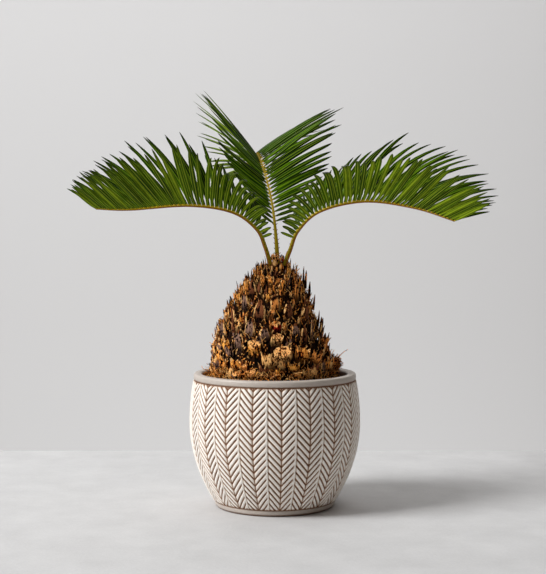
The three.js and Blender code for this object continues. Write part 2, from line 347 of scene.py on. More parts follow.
UNDERSIDE_RADIUS = 57.6
FOOT_RADIUS = 60.6
FOOT_HEIGHT = 6.0
FOOT_ROUNDING = 1.1
WALL_FOOT_RADIUS = 61.6
BELLY_RADIUS = 85.6
BELLY_HEIGHT = 85.0
SHOULDER_RADIUS = 81.6
SHOULDER_HEIGHT = 126.5
RIM_FOOT_HEIGHT = SHOULDER_HEIGHT + 0.7
RIM_RADIUS = 81.2
RIM_INNER_RADIUS = 72.6
POT_HEIGHT = 133.4
RIM_ROUNDING = 2.2
WALL_THICKNESS = 8.5
FLOOR_THICKNESS = 9.0
FLOOR_BEVEL = 5.0
INNER_TOP_HEIGHT = SHOULDER_HEIGHT - 6
INNER_RINGS = 7
POLE_RADIUS = 0.4           # of the smallest ring, at the middle of a turned shape

COLUMNS = 38                # half of them lean left and half right
FIRST_VALLEY = 4.4          # degrees from the front to the nearest valley line
STEPS_PER_COLUMN = 8
COLUMN_CROWDING = 0.6       # how much the steps crowd towards a column's two lines
RIDGE_PITCH = 6.5
RIDGE_RISE = 15.0
ROWS_PER_RIDGE = 10
RELIEF_DEPTH = 1.15
WALL_START = FOOT_HEIGHT + 0.5
WALL_END = SHOULDER_HEIGHT + 0.1
# Where each relief is still flat and where it has its full height. A slat counts from its
# middle, in pitches. The rest count across a pair of columns, from one valley line to the
# next, with the peak line at 1. A seam runs down beside it.
SLAT_SIDE = (0.47, 0.19)
VALLEY_SIDE = (0.01, 0.085)
PEAK_SIDES = ((0.86, 0.95), (1.04, 1.0))
PEAK_HEIGHT = 0.9
SEAM_PLACE = 1.065
SEAM_SIDE = (0.05, 0.0)
SEAM_DEPTH = 0.62
BAND_FADE = 1.1             # how far from the plain bands the relief has its full height


def wall_radius(height):
    """The wall follows one parabola below the belly and another above it."""
    if height < BELLY_HEIGHT:
        share = (BELLY_HEIGHT - height) / (BELLY_HEIGHT - FOOT_HEIGHT)
        return BELLY_RADIUS - (BELLY_RADIUS - WALL_FOOT_RADIUS) * share ** 2
    share = (height - BELLY_HEIGHT) / (SHOULDER_HEIGHT - BELLY_HEIGHT)
    return BELLY_RADIUS - (BELLY_RADIUS - SHOULDER_RADIUS) * share ** 2


def arc(radius, height, size, start, end, cover, steps=5):
    """Points of a rounded edge in the pot's section."""
    angles = np.radians(np.linspace(start, end, steps))
    return [(radius + size * math.cos(a), height + size * math.sin(a), cover) for a in angles]


def glaze_finish():
    """Cream glaze that is rubbed thin, so that the brown clay wash stays in the grooves."""
    glaze = Finish("herringbone_glaze", roughness=0.5, specular=0.4)
    depth = glaze.attribute("relief")
    wear = glaze.cloud(0.0035, detail=4)
    grit = glaze.cloud(0.0009, detail=2)
    level = depth + (wear - 0.5) * 0.34 + (grit - 0.5) * 0.3
    colour = glaze.ramp(
        level,
        (0.0, (98, 58, 34)),
        (0.24, (144, 106, 77)),
        (0.46, (190, 165, 143)),
        (0.72, (232, 221, 209)),
        (1.0, (252, 246, 239)),
    )
    glaze.set("Base Color", colour)
    glaze.set("Roughness", glaze.fade(level, 1.3, -0.4) * 0.35 + 0.38)
    glaze.bump(grit * 0.6 + wear, 0.00022)
    return glaze


def band_finish():
    """The plain bands: taupe glaze with a brushed grain and brown clay at their edges."""
    band = Finish("band_glaze", roughness=0.42, specular=0.45)
    edge = band.attribute("relief")
    streaks = band.cloud(0.004, detail=4, stretch=(1.0, 1.0, 7.0))
    speck = band.cloud(0.0011, detail=2)
    level = edge + (streaks - 0.5) * 0.5 + (speck - 0.5) * 0.25
    colour = band.ramp(
        level,
        (0.0, (96, 64, 44)),
        (0.35, (142, 120, 102)),
        (0.62, (176, 163, 152)),
        (1.0, (196, 186, 177)),
    )
    band.set("Base Color", colour)
    band.bump(streaks + speck * 0.5, 0.00018)
    return band


# The pot's section is a list of points: radius, height, and how much glaze covers it there,
# from 0, bare brown clay, to 1, full glaze

def foot_section():
    """The underside, from its middle, and the foot band."""
    underside = [(POLE_RADIUS, 0.0, 0.3), (40.0, 0.0, 0.3), (UNDERSIDE_RADIUS - 1, 0.0, 0.0)]
    edge = arc(UNDERSIDE_RADIUS, FOOT_ROUNDING, FOOT_ROUNDING, -90, -30, 0.0, steps=4)
    band = [(FOOT_RADIUS - 0.9, 1.7, 0.35), (FOOT_RADIUS - 0.5, 2.5, 0.9),
            (FOOT_RADIUS - 0.1, 4.4, 0.95), (FOOT_RADIUS, 5.4, 0.7),
            (FOOT_RADIUS - 0.3, FOOT_HEIGHT, 0.25)]
    return underside + edge + band


def wall_section():
    """The rows of points on the wall. Its recipe gives them their radius and their cover."""
    rows = round((WALL_END - WALL_START + RIDGE_RISE) / RIDGE_PITCH * ROWS_PER_RIDGE)
    return [(0.0, WALL_END - RIDGE_PITCH * (rows - row) / ROWS_PER_RIDGE, 0.0)
            for row in range(rows + 1)]


def rim_section():
    """The rim, and down the inside to the middle of the floor."""
    rounded = POT_HEIGHT - RIM_ROUNDING
    side = [(RIM_RADIUS - 0.7, RIM_FOOT_HEIGHT - 0.1, 0.1),
            (RIM_RADIUS - 0.1, RIM_FOOT_HEIGHT + 0.5, 0.45),
            (RIM_RADIUS, RIM_FOOT_HEIGHT + 1.3, 0.85), (RIM_RADIUS, rounded, 0.9)]
    top = arc(RIM_RADIUS - RIM_ROUNDING, rounded, RIM_ROUNDING, 20, 90, 1.0)
    top += arc(RIM_INNER_RADIUS + RIM_ROUNDING, rounded, RIM_ROUNDING, 90, 150, 0.85, steps=4)
    inside = [(RIM_INNER_RADIUS, rounded, 0.2), (RIM_INNER_RADIUS, POT_HEIGHT - 4.5, 0.0)]
    heights = np.linspace(INNER_TOP_HEIGHT, FLOOR_THICKNESS + FLOOR_BEVEL, INNER_RINGS)
    inside += [(wall_radius(height) - WALL_THICKNESS, height, 0.2) for height in heights]
    floor_radius = wall_radius(FLOOR_THICKNESS) - WALL_THICKNESS - FLOOR_BEVEL
    return side + top + inside + [(floor_radius, FLOOR_THICKNESS, 0.2),
                                  (POLE_RADIUS, FLOOR_THICKNESS, 0.2)]


def steps_round():
    """The steps round the pot, counted in columns from the first valley line."""
    steps = []
    for step in range(COLUMNS * STEPS_PER_COLUMN):
        column, share = divmod(step / STEPS_PER_COLUMN, 1)
        crowded = share - COLUMN_CROWDING * math.sin(2 * math.pi * share) / (2 * math.pi)
        steps.append(column + crowded)
    return steps


def build_pot():
    parts = ((foot_section(), 0.0), (wall_section(), 1.0), (rim_section(), 0.0))
    rings = [(*point, on_wall) for section, on_wall in parts for point in section]
    columns = steps_round()
    outwards = np.array([spoke(math.radians(FIRST_VALLEY - 90 + column * 360 / COLUMNS))
                         for column in columns])
    points, numbers = [], {"column": [], "course": [], "wall": [], "relief": []}
    for radius, height, cover, on_wall in rings:
        points.extend(outwards * radius * MM + UP * height * MM)
        numbers["column"].extend(columns)
        numbers["course"].extend([height] * len(columns))
        numbers["wall"].extend([on_wall] * len(columns))
        numbers["relief"].extend([cover] * len(columns))
    pot = make_piece("stoneware_pot", points, ring_faces(len(rings), len(columns)))
    for name, values in numbers.items():
        mark(pot, name, values)
    settle(press_herringbone(smooth(pot)), "pot", "pot")


def press_herringbone(pot):
    """Slats that climb to the peak lines and drop to the valley lines, all round the wall."""
    recipe = Recipe("herringbone", Pitch=RIDGE_PITCH, Rise=RIDGE_RISE, Depth=RELIEF_DEPTH)
    column = recipe.named("column")
    pair = column % 2
    climb = 1 - recipe.math("ABSOLUTE", pair - 1)
    course = recipe.named("course")
    height = recipe.math("MAXIMUM", course + climb * recipe.size("Rise"), WALL_START)
    height = recipe.math("MINIMUM", height, WALL_END)

    along = (course / recipe.size("Pitch")) % 1
    slat = recipe.fade(recipe.math("ABSOLUTE", along - 0.5), *SLAT_SIDE)
    valley = recipe.fade(climb, *VALLEY_SIDE)
    rib = recipe.fade(pair, *PEAK_SIDES[0]) * recipe.fade(pair, *PEAK_SIDES[1])
    seam = recipe.fade(recipe.math("ABSOLUTE", pair - SEAM_PLACE), *SEAM_SIDE)
    relief = recipe.math("MINIMUM", slat, valley)
    relief = recipe.math("MAXIMUM", relief, rib * PEAK_HEIGHT) * (1 - seam * SEAM_DEPTH)
    relief = relief * recipe.fade(height, WALL_START, WALL_START + BAND_FADE)
    relief = relief * recipe.fade(height, WALL_END, WALL_END - BAND_FADE)

    def bulge(span):
        share = recipe.math("MINIMUM", recipe.math("ABSOLUTE", height - BELLY_HEIGHT) / span, 1)
        return share * share
    is_low = recipe.math("LESS_THAN", height, BELLY_HEIGHT)
    low = bulge(BELLY_HEIGHT - FOOT_HEIGHT) * (BELLY_RADIUS - WALL_FOOT_RADIUS)
    high = bulge(SHOULDER_HEIGHT - BELLY_HEIGHT) * (BELLY_RADIUS - SHOULDER_RADIUS)
    radius = BELLY_RADIUS - (is_low * low + (1 - is_low) * high)
    radius = (radius - recipe.size("Depth") * (1 - relief)) * MM

    angle = (column * (360 / COLUMNS) + (FIRST_VALLEY - 90)) * (math.pi / 180)
    place = recipe.vector(recipe.math("COSINE", angle) * radius,
                          recipe.math("SINE", angle) * radius, height * MM)
    on_wall = recipe.named("wall")
    cover = relief * on_wall + recipe.named("relief") * (1 - on_wall)
    body = recipe.store(recipe.start(), "relief", cover)
    given = {"Geometry": body, "Selection": on_wall, "Position": place}
    body = recipe.add("GeometryNodeSetPosition", given)
    body = recipe.add("GeometryNodeMergeByDistance", {"Geometry": body, "Distance": 0.02 * MM})
    body = recipe.deal(body, [band_finish(), glaze_finish()], on_wall)
    return recipe.run(pot, body)


# ---- Fronds: a ribbed stalk with two rows of narrow, leathery leaflets ---------------------

STALK_RADIUS = 2.5
RIB_RADII = ((0, 2.15), (0.14, 1.7), (0.32, 1.3), (0.6, 1.0), (1, 0.6))
BACK_RIB_RADII = ((0, 1.4), (0.25, 0.9), (0.6, 0.8), (1, 0.5))
RIB_STEP = 2.0
RIB_SIDES = 12
RIB_ROOT = 6.0              # how far it reaches down into the trunk's crown
RIB_FLATNESS = 0.78         # how tall its upper half is against its lower half
ROUTE_STEPS = 24            # between two points of a rib's route
ROUTE_POINTS = 401
LEAFLET_HALF_WIDTH = 2.65
LEAFLET_STATIONS = (0.0, 0.02, 0.16, 0.36, 0.54, 0.67, 0.78, 0.87, 0.94, 1.0)
BLUNT_WIDTHS = ((0, 0.36), (0.02, 0.42), (0.16, 0.9), (0.36, 1.0), (0.67, 0.98),
                (0.78, 0.9), (0.87, 0.74), (0.94, 0.48), (1, 0.08))
POINTED_WIDTHS = ((0, 0.36), (0.02, 0.42), (0.16, 0.88), (0.36, 1.0), (0.54, 0.92),
                  (0.67, 0.79), (0.78, 0.64), (0.87, 0.48), (0.94, 0.32), (1, 0.07))
LEAFLET_BREADTH = ((0, 0.62), (0.12, 0.9), (0.3, 1), (0.6, 0.9), (1, 0.66))
LEAFLET_GAPS = ((0, 5.4), (0.1, 4.2), (0.5, 4.4), (1, 3.8))
LEAFLET_BENDS = 60
ROW_OFFSET = 2.1            # the leaflets of one row stand between those of the other
# How leaflets differ. The scatters and the twist are in degrees.
ANGLE_SCATTER = 1.6
RISE_SCATTER = 2.5
ROLL_SCATTER = 5.0
TWIST, TWIST_SCATTER = 4.0, 8.0
LEAST_ARCH = 1.0
ARCH_SPREAD = (0.8, 1.2)
LENGTH_SPREAD = (0.93, 1.04)
WIDTH_SPREAD = (0.93, 1.07)
TONES = (0, 1, 1, 2)        # how often each of the three greens comes
DRY_SHARE = 0.12            # of the leaflets have a dry end
DRY_FROM = 0.92             # where along the leaflet the dry end starts
NEVER_DRY = 1.1
TIP_GAP = 1.0               # from the last leaflet to the rib's tip
BASE_END = 0.02             # where along the leaflet its yellow base ends
MARK_STRENGTH = 0.75        # how strongly the painted shade lines, the painted highlights and the end are coloured

# Each frond: the route of its rib from the trunk's top, the distance along it where the
# leaflets begin, the direction of its first row, the direction its upper face looks, and
# its rows. A row's tables give, against the share of the leafy stretch, the leaflets'
# angle from the rib, their rise above the frond's own plane and how far they arch over, in
# degrees, and their length. Pull is the way they arch: towards the tip, sideways and up.
# Curl says how late they arch: 1 bends a leaflet evenly and 3 only towards its end. Taper
# goes from 0, a blunt leaflet, to 1, a pointed one. Seat is where they are set on the rib, to
# its side and up, in its radii, and roll turns their upper faces towards the frond's tip.
# Radii are the rib's own, where it isn't as thick as the others.
NEAR_ROW = {
    "side": 1,
    "angle": [[0, 90], [0.15, 90], [0.35, 76], [0.6, 57], [1, 40]],
    "rise": [[0, 78], [0.08, 58], [0.3, 64], [1, 56]],
    "arch": [[0, 6], [0.08, 14], [0.15, 50], [0.22, 100], [0.34, 72], [0.5, 34], [1, 14]],
    "length": [[0, 12], [0.06, 20], [0.12, 33], [0.2, 50], [0.3, 66], [0.45, 78], [0.6, 80],
               [0.85, 61], [1, 34]],
    "pull": (0, 0.7, -0.4),
    "curl": 2.4,
    "taper": [[0.24, 0], [0.4, 1]],
    "seat": (0.75, 0.45),
    "roll": 8,
}
FAR_ROW = {
    "side": -1,
    "angle": [[0, 90], [0.15, 88], [0.35, 74], [0.6, 57], [1, 42]],
    "rise": [[0, 30], [0.18, 45], [0.35, 68], [1, 62]],
    "arch": [[0, 10], [0.4, 18], [1, 12]],
    "length": [[0, 14], [0.12, 28], [0.2, 41], [0.35, 79], [0.5, 87], [0.7, 75], [1, 35]],
    "pull": (0.7, 0.2, -0.1),
    "curl": 1.3,
    "taper": [[0, 1], [1, 1]],
    "seat": (0.75, 0.45),
    "roll": 8,
}
BACK_ROW = {
    "arch": [[0, 12], [1, 12]],
    "curl": 1.4,
    "taper": [[0, 0.5], [1, 0.5]],
    "seat": (0.9, 0.3),
    "roll": -12,
}
FRONDS = {
    "left": {
        "route": [(-4, -3, 240), (-9, -6, 258), (-18, -10, 277), (-42, -19, 293.5),
                  (-84, -32, 299.4), (-140, -47, 295.2), (-172, -56, 296)],
        "leafy_from": 31,
        "sideways": (-0.3, -1, 0),
        "upper_face": (0.6, 0, 1),
        "rows": {"near": NEAR_ROW, "far": FAR_ROW},
    },
    "right": {
        "route": [(9, -3, 240), (15, -6, 256), (23, -10, 275.5), (45, -20, 294.5),
                  (88, -34, 303.5), (135, -50, 296.5), (172, -59, 284)],
        "leafy_from": 31,
        "sideways": (0.3, -1, 0),
        "upper_face": (-0.6, 0, 1),
        "rows": {
            "near": {
                **NEAR_ROW,
                "angle": [[0, 86], [0.15, 84], [0.35, 78], [0.6, 59], [1, 45]],
                "arch": [[0, 8], [0.12, 36], [0.3, 80], [0.5, 72], [0.65, 45], [1, 12]],
                "length": [[0, 17], [0.06, 25], [0.12, 35], [0.2, 50], [0.35, 62], [0.6, 70],
                           [0.85, 62], [1, 40]],
                "taper": [[0.5, 0], [0.75, 1]],
            },
            "far": {
                **FAR_ROW,
                "angle": [[0, 88], [0.15, 84], [0.35, 68], [0.6, 60], [1, 46]],
                "arch": [[0, 10], [0.4, 38], [0.7, 30], [1, 14]],
                "length": [[0, 12], [0.12, 24], [0.25, 46], [0.4, 84], [0.6, 96], [0.85, 74],
                           [1, 34]],
            },
        },
    },
    "back": {
        "route": [(3, 5, 240), (1, 12, 271), (-3, 22, 304), (-11, 41, 337),
                  (-19, 76, 356), (-27, 113, 352), (-33, 145, 336)],
        "leafy_from": 44,
        "sideways": (-1, -0.15, 0),
        "upper_face": (0, -1, 1),
        "radii": BACK_RIB_RADII,
        "rows": {
            "left": {
                **BACK_ROW,
                "side": 1,
                "pull": (0.6, 0.2, -0.1),
                "angle": [[0, 52], [0.15, 49], [0.4, 51], [0.7, 58], [1, 30]],
                "rise": [[0, 8], [0.25, 22], [0.5, 48], [1, 48]],
                "length": [[0, 32], [0.12, 50], [0.2, 60], [0.33, 71], [0.42, 85], [0.5, 97],
                           [0.65, 97], [0.85, 76], [1, 36]],
            },
            "right": {
                **BACK_ROW,
                "side": -1,
                "pull": (0, 0.3, -0.6),
                "angle": [[0, 76], [0.15, 72], [0.3, 70], [0.45, 70], [0.7, 70], [1, 36]],
                "rise": [[0, 8], [0.25, 20], [0.5, 31], [1, 34]],
                "length": [[0, 38], [0.12, 56], [0.2, 70], [0.35, 88], [0.5, 106], [0.65, 110],
                           [0.85, 80], [1, 38]],
            },
        },
    },
}


def smooth_route(route):
    """Points along a smooth curve through the route's points, even by length, and its span."""
    route = [np.array(point, float) for point in route]
    route = [2 * route[0] - route[1], *route, 2 * route[-1] - route[-2]]
    points = []
    for a, b, c, d in zip(route, route[1:], route[2:], route[3:]):
        for t in np.arange(ROUTE_STEPS) / ROUTE_STEPS:
            points.append((2 * b + (c - a) * t + (2 * a - 5 * b + 4 * c - d) * t ** 2
                           + (3 * b - a - 3 * c + d) * t ** 3) / 2)
    points = np.array([*points, route[-2]])
    lengths = np.linalg.norm(np.diff(points, axis=0), axis=1)
    distances = np.concatenate([[0], np.cumsum(lengths)])
    even = np.linspace(0, distances[-1], ROUTE_POINTS)
    return np.stack([np.interp(even, distances, points[:, k]) for k in range(3)], 1), distances[-1]


def arched_line(root, start, pull, arch, length, curl):
    """A leaflet's middle line, which sets out one way and arches over where it is pulled."""
    pull = unit(pull - start * (start @ pull))
    reach = np.linspace(0, 1, LEAFLET_BENDS + 1)
    bend = (arch * reach ** curl)[:, None]
    heading = np.cos(bend) * start + np.sin(bend) * pull
    steps = (heading[1:] + heading[:-1]) / 2 * length / LEAFLET_BENDS
    path = root + np.vstack([np.zeros(3), np.cumsum(steps, axis=0)])
    return np.stack([np.interp(LEAFLET_STATIONS, reach, path[:, k]) for k in range(3)], 1)


def turned_looks(line, look, roll, twist):
    """Which way a leaflet's upper face looks all along it, rolled from its root and twisted."""
    looks = []
    for k, reach in enumerate(LEAFLET_STATIONS):
        ahead = unit(line[min(k + 1, len(line) - 1)] - line[max(k - 1, 0)])
        look = unit(look - ahead * (look @ ahead))
        turn = roll + twist * reach
        looks.append(look * math.cos(turn) + np.cross(ahead, look) * math.sin(turn))
    return looks


class Frond:
    """One frond's rib: where it runs and which way its sides and its upper face look."""

    def __init__(self, name, plan):
        self.name = name
        self.plan = plan
        self.points, self.span = smooth_route(plan["route"])
        self.leafy_from = plan["leafy_from"]
        self.radii = plan.get("radii", RIB_RADII)

    def at(self, distance):
        """The rib's centre, its way along, its first side and its upper face."""
        place = min(max(distance / self.span, 0.0), 1.0) * (len(self.points) - 1)
        low = min(int(place), len(self.points) - 2)
        centre = blend(self.points[low], self.points[low + 1], place - low)
        along = unit(self.points[min(low + 2, len(self.points) - 1)] - self.points[max(low - 1, 0)])
        sideways = np.array(self.plan["sideways"], float)
        side = unit(sideways - along * (along @ sideways))
        face = np.cross(side, along)
        if face @ np.array(self.plan["upper_face"], float) < 0:
            face = -face
        return centre, along, side, face

    def radius(self, distance):
        if distance < self.leafy_from:
            return blend(STALK_RADIUS, value_at(self.radii, 0), distance / self.leafy_from)
        share = (distance - self.leafy_from) / (self.span - self.leafy_from)
        return value_at(self.radii, share)

    def leaflet(self, row, share, chance):
        """A leaflet's middle line, and which way its upper face looks at each point of it."""
        distance = blend(self.leafy_from, self.span, share)
        centre, along, side, face = self.at(distance)
        out = side * row["side"]
        angle = math.radians(value_at(row["angle"], share) + chance.gauss(0, ANGLE_SCATTER))
        rise = math.radians(value_at(row["rise"], share) + chance.gauss(0, RISE_SCATTER))
        arch = value_at(row["arch"], share) * chance.uniform(*ARCH_SPREAD)
        length = value_at(row["length"], share) * chance.uniform(*LENGTH_SPREAD)
        start = math.cos(angle) * along
        start = start + math.sin(angle) * (math.cos(rise) * out + math.sin(rise) * face)
        pull = row["pull"][0] * along + row["pull"][1] * out + row["pull"][2] * UP
        aside, above = row["seat"]
        root = centre + (aside * out + above * face) * self.radius(distance)
        arch = math.radians(max(arch, LEAST_ARCH))
        line = arched_line(root, start, pull, arch, length, row["curl"])
        look = np.cross(along, start)
        if look @ face < 0:
            look = -look
        hand = math.copysign(1, np.cross(start, look) @ along)
        roll = math.radians(chance.gauss(row["roll"], ROLL_SCATTER)) * hand
        twist = math.radians(chance.gauss(TWIST, TWIST_SCATTER)) * hand
        return line, turned_looks(line, look, roll, twist)


def leaf_finish(name, dark, light, roughness, painted_highlight, shade):
    """Leathery leaf: a painted highlight along the midrib and the rims, a line of painted shade
    between them and a dark end.
    """
    leaf = Finish(name, roughness=roughness, specular=0.07)
    patches = leaf.cloud(0.012, detail=3)
    fine = leaf.cloud(0.0012, detail=2)
    colour = leaf.ramp(patches * 0.8 + fine * 0.2, (0.3, dark), (0.72, light))
    across = leaf.math("ABSOLUTE", leaf.attribute("across"))
    # Painted shade: a dark line along each half of the leaflet, between the midrib and the rim
    painted_shade_line = leaf.fade(leaf.math("ABSOLUTE", across - 0.62), 0.22, 0.0)
    colour = leaf.mix(painted_shade_line * MARK_STRENGTH, colour, shade)
    # Painted highlight: the rims and the midrib are turned towards a pale colour
    rim = leaf.fade(across, 0.74, 1.0)
    rib = leaf.fade(across, 0.3, 0.0)
    colour = leaf.mix((rim + rib) * MARK_STRENGTH, colour, painted_highlight)
    toward_end = leaf.fade(leaf.attribute("reach"), 0.66, 1.0)
    leaf.set("Base Color", leaf.mix(toward_end * MARK_STRENGTH, colour, shade))
    leaf.bump(fine, 0.00012)
    return leaf


MARGIN, TIP, BASE = 6, 7, 8     # the places of the last three finishes


def leaf_finishes():
    """Three greens above and three below, dealt out by leaflet, then the margin, whose lighter green
    is a painted highlight, and the tip.
    """
    above = [((4, 24, 0), (22, 54, 0)), ((16, 44, 0), (44, 84, 0)), ((40, 76, 0), (88, 130, 6))]
    below = [((28, 58, 0), (58, 96, 0)), ((54, 86, 0), (92, 130, 2)),
             ((84, 114, 0), (138, 166, 16))]
    # The pale colour after the two greens is the painted highlight of the midrib and the rims
    finishes = [leaf_finish(f"leaf_upper_{k}", *greens, 0.32, (120, 144, 34), (4, 16, 0))
                for k, greens in enumerate(above)]
    finishes += [leaf_finish(f"leaf_under_{k}", *greens, 0.5, (160, 170, 50), (30, 50, 0))
                 for k, greens in enumerate(below)]
    # The margin's lighter green is a painted highlight along the curled rims
    margin, tip, base = (134, 156, 36), (26, 30, 4), (196, 160, 34)
    finishes.append(leaf_finish("leaf_margin", (104, 124, 14), margin, 0.5, margin, (48, 66, 4)))
    finishes.append(leaf_finish("leaf_tip", (22, 22, 4), tip, 0.6, tip, tip))
    finishes.append(leaf_finish("leaf_base", (150, 122, 16), base, 0.5, base, base))
    return finishes


def leaflet_section():
    """The leaflet across: a sunken midrib above, a keel below and margins curled under."""
    outline = [(0.0, 0.0), (0.13, 0.5), (-0.2, 1.0), (-0.38, 0.8),
               (-0.22, 0.0), (-0.38, -0.8), (-0.2, -1.0), (0.13, -0.5)]
    under = [0, 0, 0, 1, 1, 1, 0, 0]
    count = len(outline)
    edges = [(k, (k + 1) % count) for k in range(count)]
    section = make_piece("leaflet_section", [(x, y, 0.0) for x, y in outline], [], edges=edges)
    mark(section, "under", under)
    mark(section, "across", [y for _, y in outline])
    return section


def leaflet_width(station, taper):
    """A leaflet's width there against its full width."""
    return blend(value_at(BLUNT_WIDTHS, station), value_at(POINTED_WIDTHS, station), taper)


def leaflet_lines(frond, chance):
    """The middle lines of all the leaflets, and which way their upper faces look."""
    lines, looks = Lines(), []
    for row in frond.plan["rows"].values():
        distance = frond.leafy_from + (0 if row["side"] > 0 else ROW_OFFSET)
        while distance < frond.span - TIP_GAP:
            share = (distance - frond.leafy_from) / (frond.span - frond.leafy_from)
            line, line_looks = frond.leaflet(row, share, chance)
            looks.extend(line_looks)
            width = LEAFLET_HALF_WIDTH * value_at(LEAFLET_BREADTH, share)
            width *= chance.uniform(*WIDTH_SPREAD)
            tone = chance.choice(TONES)
            dry = DRY_FROM if chance.random() < DRY_SHARE else NEVER_DRY
            taper = value_at(row["taper"], share)
            widths = [width * leaflet_width(station, taper) * MM for station in LEAFLET_STATIONS]
            lines.add(line, half_width=widths, tone=tone, reach=LEAFLET_STATIONS, dry=dry)
            distance += value_at(LEAFLET_GAPS, share)
    return lines, looks


def grow_leaflets(frond, finishes, section, chance):
    """All the leaflets of a frond: the section drawn along their middle lines."""
    lines, looks = leaflet_lines(frond, chance)
    leaflets = lines.piece(f"{frond.name}_leaflets")
    mark(leaflets, "facing", looks, "FLOAT_VECTOR")

    recipe = Recipe(f"{frond.name} leaflets", Width=1.0)
    line = recipe.add("GeometryNodeMeshToCurve", {"Mesh": recipe.start()})
    facing = recipe.named("facing", "FLOAT_VECTOR")
    line = recipe.add("GeometryNodeSetCurveNormal", {"Curve": line, "Normal": facing}, mode="FREE")
    outline = recipe.add("GeometryNodeObjectInfo", {"Object": section}, out="Geometry")
    outline = recipe.add("GeometryNodeMeshToCurve", {"Mesh": outline})
    blades = recipe.add("GeometryNodeCurveToMesh", {
        "Curve": line, "Profile Curve": outline, "Fill Caps": True,
        "Scale": recipe.named("half_width") * recipe.size("Width")})
    blades = recipe.add("GeometryNodeSetShadeSmooth", {"Geometry": blades})
    under = recipe.named("under")
    number = recipe.named("tone") + recipe.math("GREATER_THAN", under, 0.6) * 3
    number = recipe.instead(number, recipe.math("COMPARE", under, 0.5, 0.2), MARGIN)
    reach = recipe.named("reach")
    is_dry = recipe.math("GREATER_THAN", reach, recipe.named("dry"))
    number = recipe.instead(number, is_dry, TIP)
    number = recipe.instead(number, recipe.math("LESS_THAN", reach, BASE_END), BASE)
    return recipe.run(leaflets, recipe.deal(blades, finishes, number))


def stalk_finish():
    """Olive stalk, yellower above and orange-brown along its edges and underneath."""
    stalk = Finish("stalk_skin", roughness=0.45, specular=0.12)
    streaks = stalk.cloud(0.0022, detail=4, stretch=(1.0, 1.0, 0.35))
    level = stalk.attribute("under") + (streaks - 0.5) * 0.5
    colour = stalk.ramp(
        level,
        (0.1, (176, 152, 30)),
        (0.4, (132, 124, 14)),
        (0.62, (160, 100, 16)),
        (0.95, (116, 68, 12)),
    )
    stalk.set("Base Color", colour)
    stalk.bump(streaks, 0.0002)
    return stalk


def build_rib(frond, finish):
    """A tapered rib, flat along its upper face, from inside the trunk's crown to its tip."""
    points, under = [], []
    stations = np.arange(-RIB_ROOT, frond.span, RIB_STEP)
    for distance in stations:
        centre, along, side, face = frond.at(max(distance, 0.0))
        if distance < 0:
            centre = centre + along * distance
        radius = frond.radius(max(distance, 0.0))
        for k in range(RIB_SIDES):
            turn = 2 * math.pi * k / RIB_SIDES
            upward = math.cos(turn)
            flat = upward * (RIB_FLATNESS if upward > 0 else 1.0)
            points.append((centre + radius * (face * flat + side * math.sin(turn))) * MM)
            under.append(0.5 - 0.5 * upward)
    rib = make_piece(f"{frond.name}_rib", points, ring_faces(len(stations), RIB_SIDES), [finish])
    mark(rib, "under", under)
    return smooth(rib)


def build_fronds():
    finishes = leaf_finishes()
    stalk = stalk_finish()
    section = leaflet_section()
    for seed, (name, plan) in enumerate(FRONDS.items(), 11):
        frond = Frond(name, plan)
        rib = build_rib(frond, stalk)
        settle(rib, "stalk", f"{name}_stalk", f"{name}_rib_inner", f"{name}_rib_outer")
        leaflets = grow_leaflets(frond, finishes, section, random.Random(seed))
        blades = [f"{name}_{row}_blade_{part}" for row in plan["rows"] for part in ("inner", "outer")]
        settle(leaflets, "leaf", *blades)
    bpy.data.objects.remove(section)


# ---- Small shapes that are set many times, and fibres ---------------------------------------

CUT_BASE, TORN_BASE, SHIELD, NEEDLE, GRAIN = range(5)
BODY, TIP_PART, RIM_PART, CUT_PART = range(4)

# The sections of the shapes as [outward, across], and which sides of a shield are its edges
LEAF_BASE_SECTION = ((1.0, 0.0), (0.62, 0.36), (0.05, 0.5), (-0.3, 0.3),
                     (-0.4, 0.0), (-0.3, -0.3), (0.05, -0.5), (0.62, -0.36))
SHIELD_SECTION = ((1.0, 0.0), (0.85, 0.34), (0.3, 0.5), (-0.25, 0.2),
                  (-0.25, -0.2), (0.3, -0.5), (0.85, -0.34))
SHIELD_EDGES = (BODY, RIM_PART, BODY, BODY, BODY, RIM_PART, BODY)
NEEDLE_SECTION = ((0.5, 0.0), (0.15, 0.48), (-0.4, 0.29), (-0.4, -0.29), (0.15, -0.48))
TORN_ENDS = (1.0, 0.7, 0.95, 0.6, 0.86, 0.64, 1.1, 0.74)
FIBRE_TAPER = 0.6


def ring_of(section, length, thickness, width, shift=0.0, slant=0.0):
    """One ring of a small shape: outward is X, across is Y, along is Z."""
    return [(x * thickness + shift, y * width, length - slant * x) for x, y in section]


def small_shape(place, name, rings, parts):
    """A unit shape. Parts say what each band of its faces is, side by side, and its far end."""
    sides = len(rings[0])
    points = [point for ring in rings for point in ring]
    shape = make_piece(f"{place}_{name}", points, ring_faces(len(rings), sides))
    numbers = []
    for band in parts[:-1]:
        numbers.extend(band if isinstance(band, tuple) else [band] * sides)
    mark(shape, "part", [*numbers, BODY, parts[-1]], domain="FACE")
    # Painted shade: this number rises towards a shape's foot, where the bark finish darkens it
    mark(shape, "sunken", [1 - point[2] for point in points])
    return shape


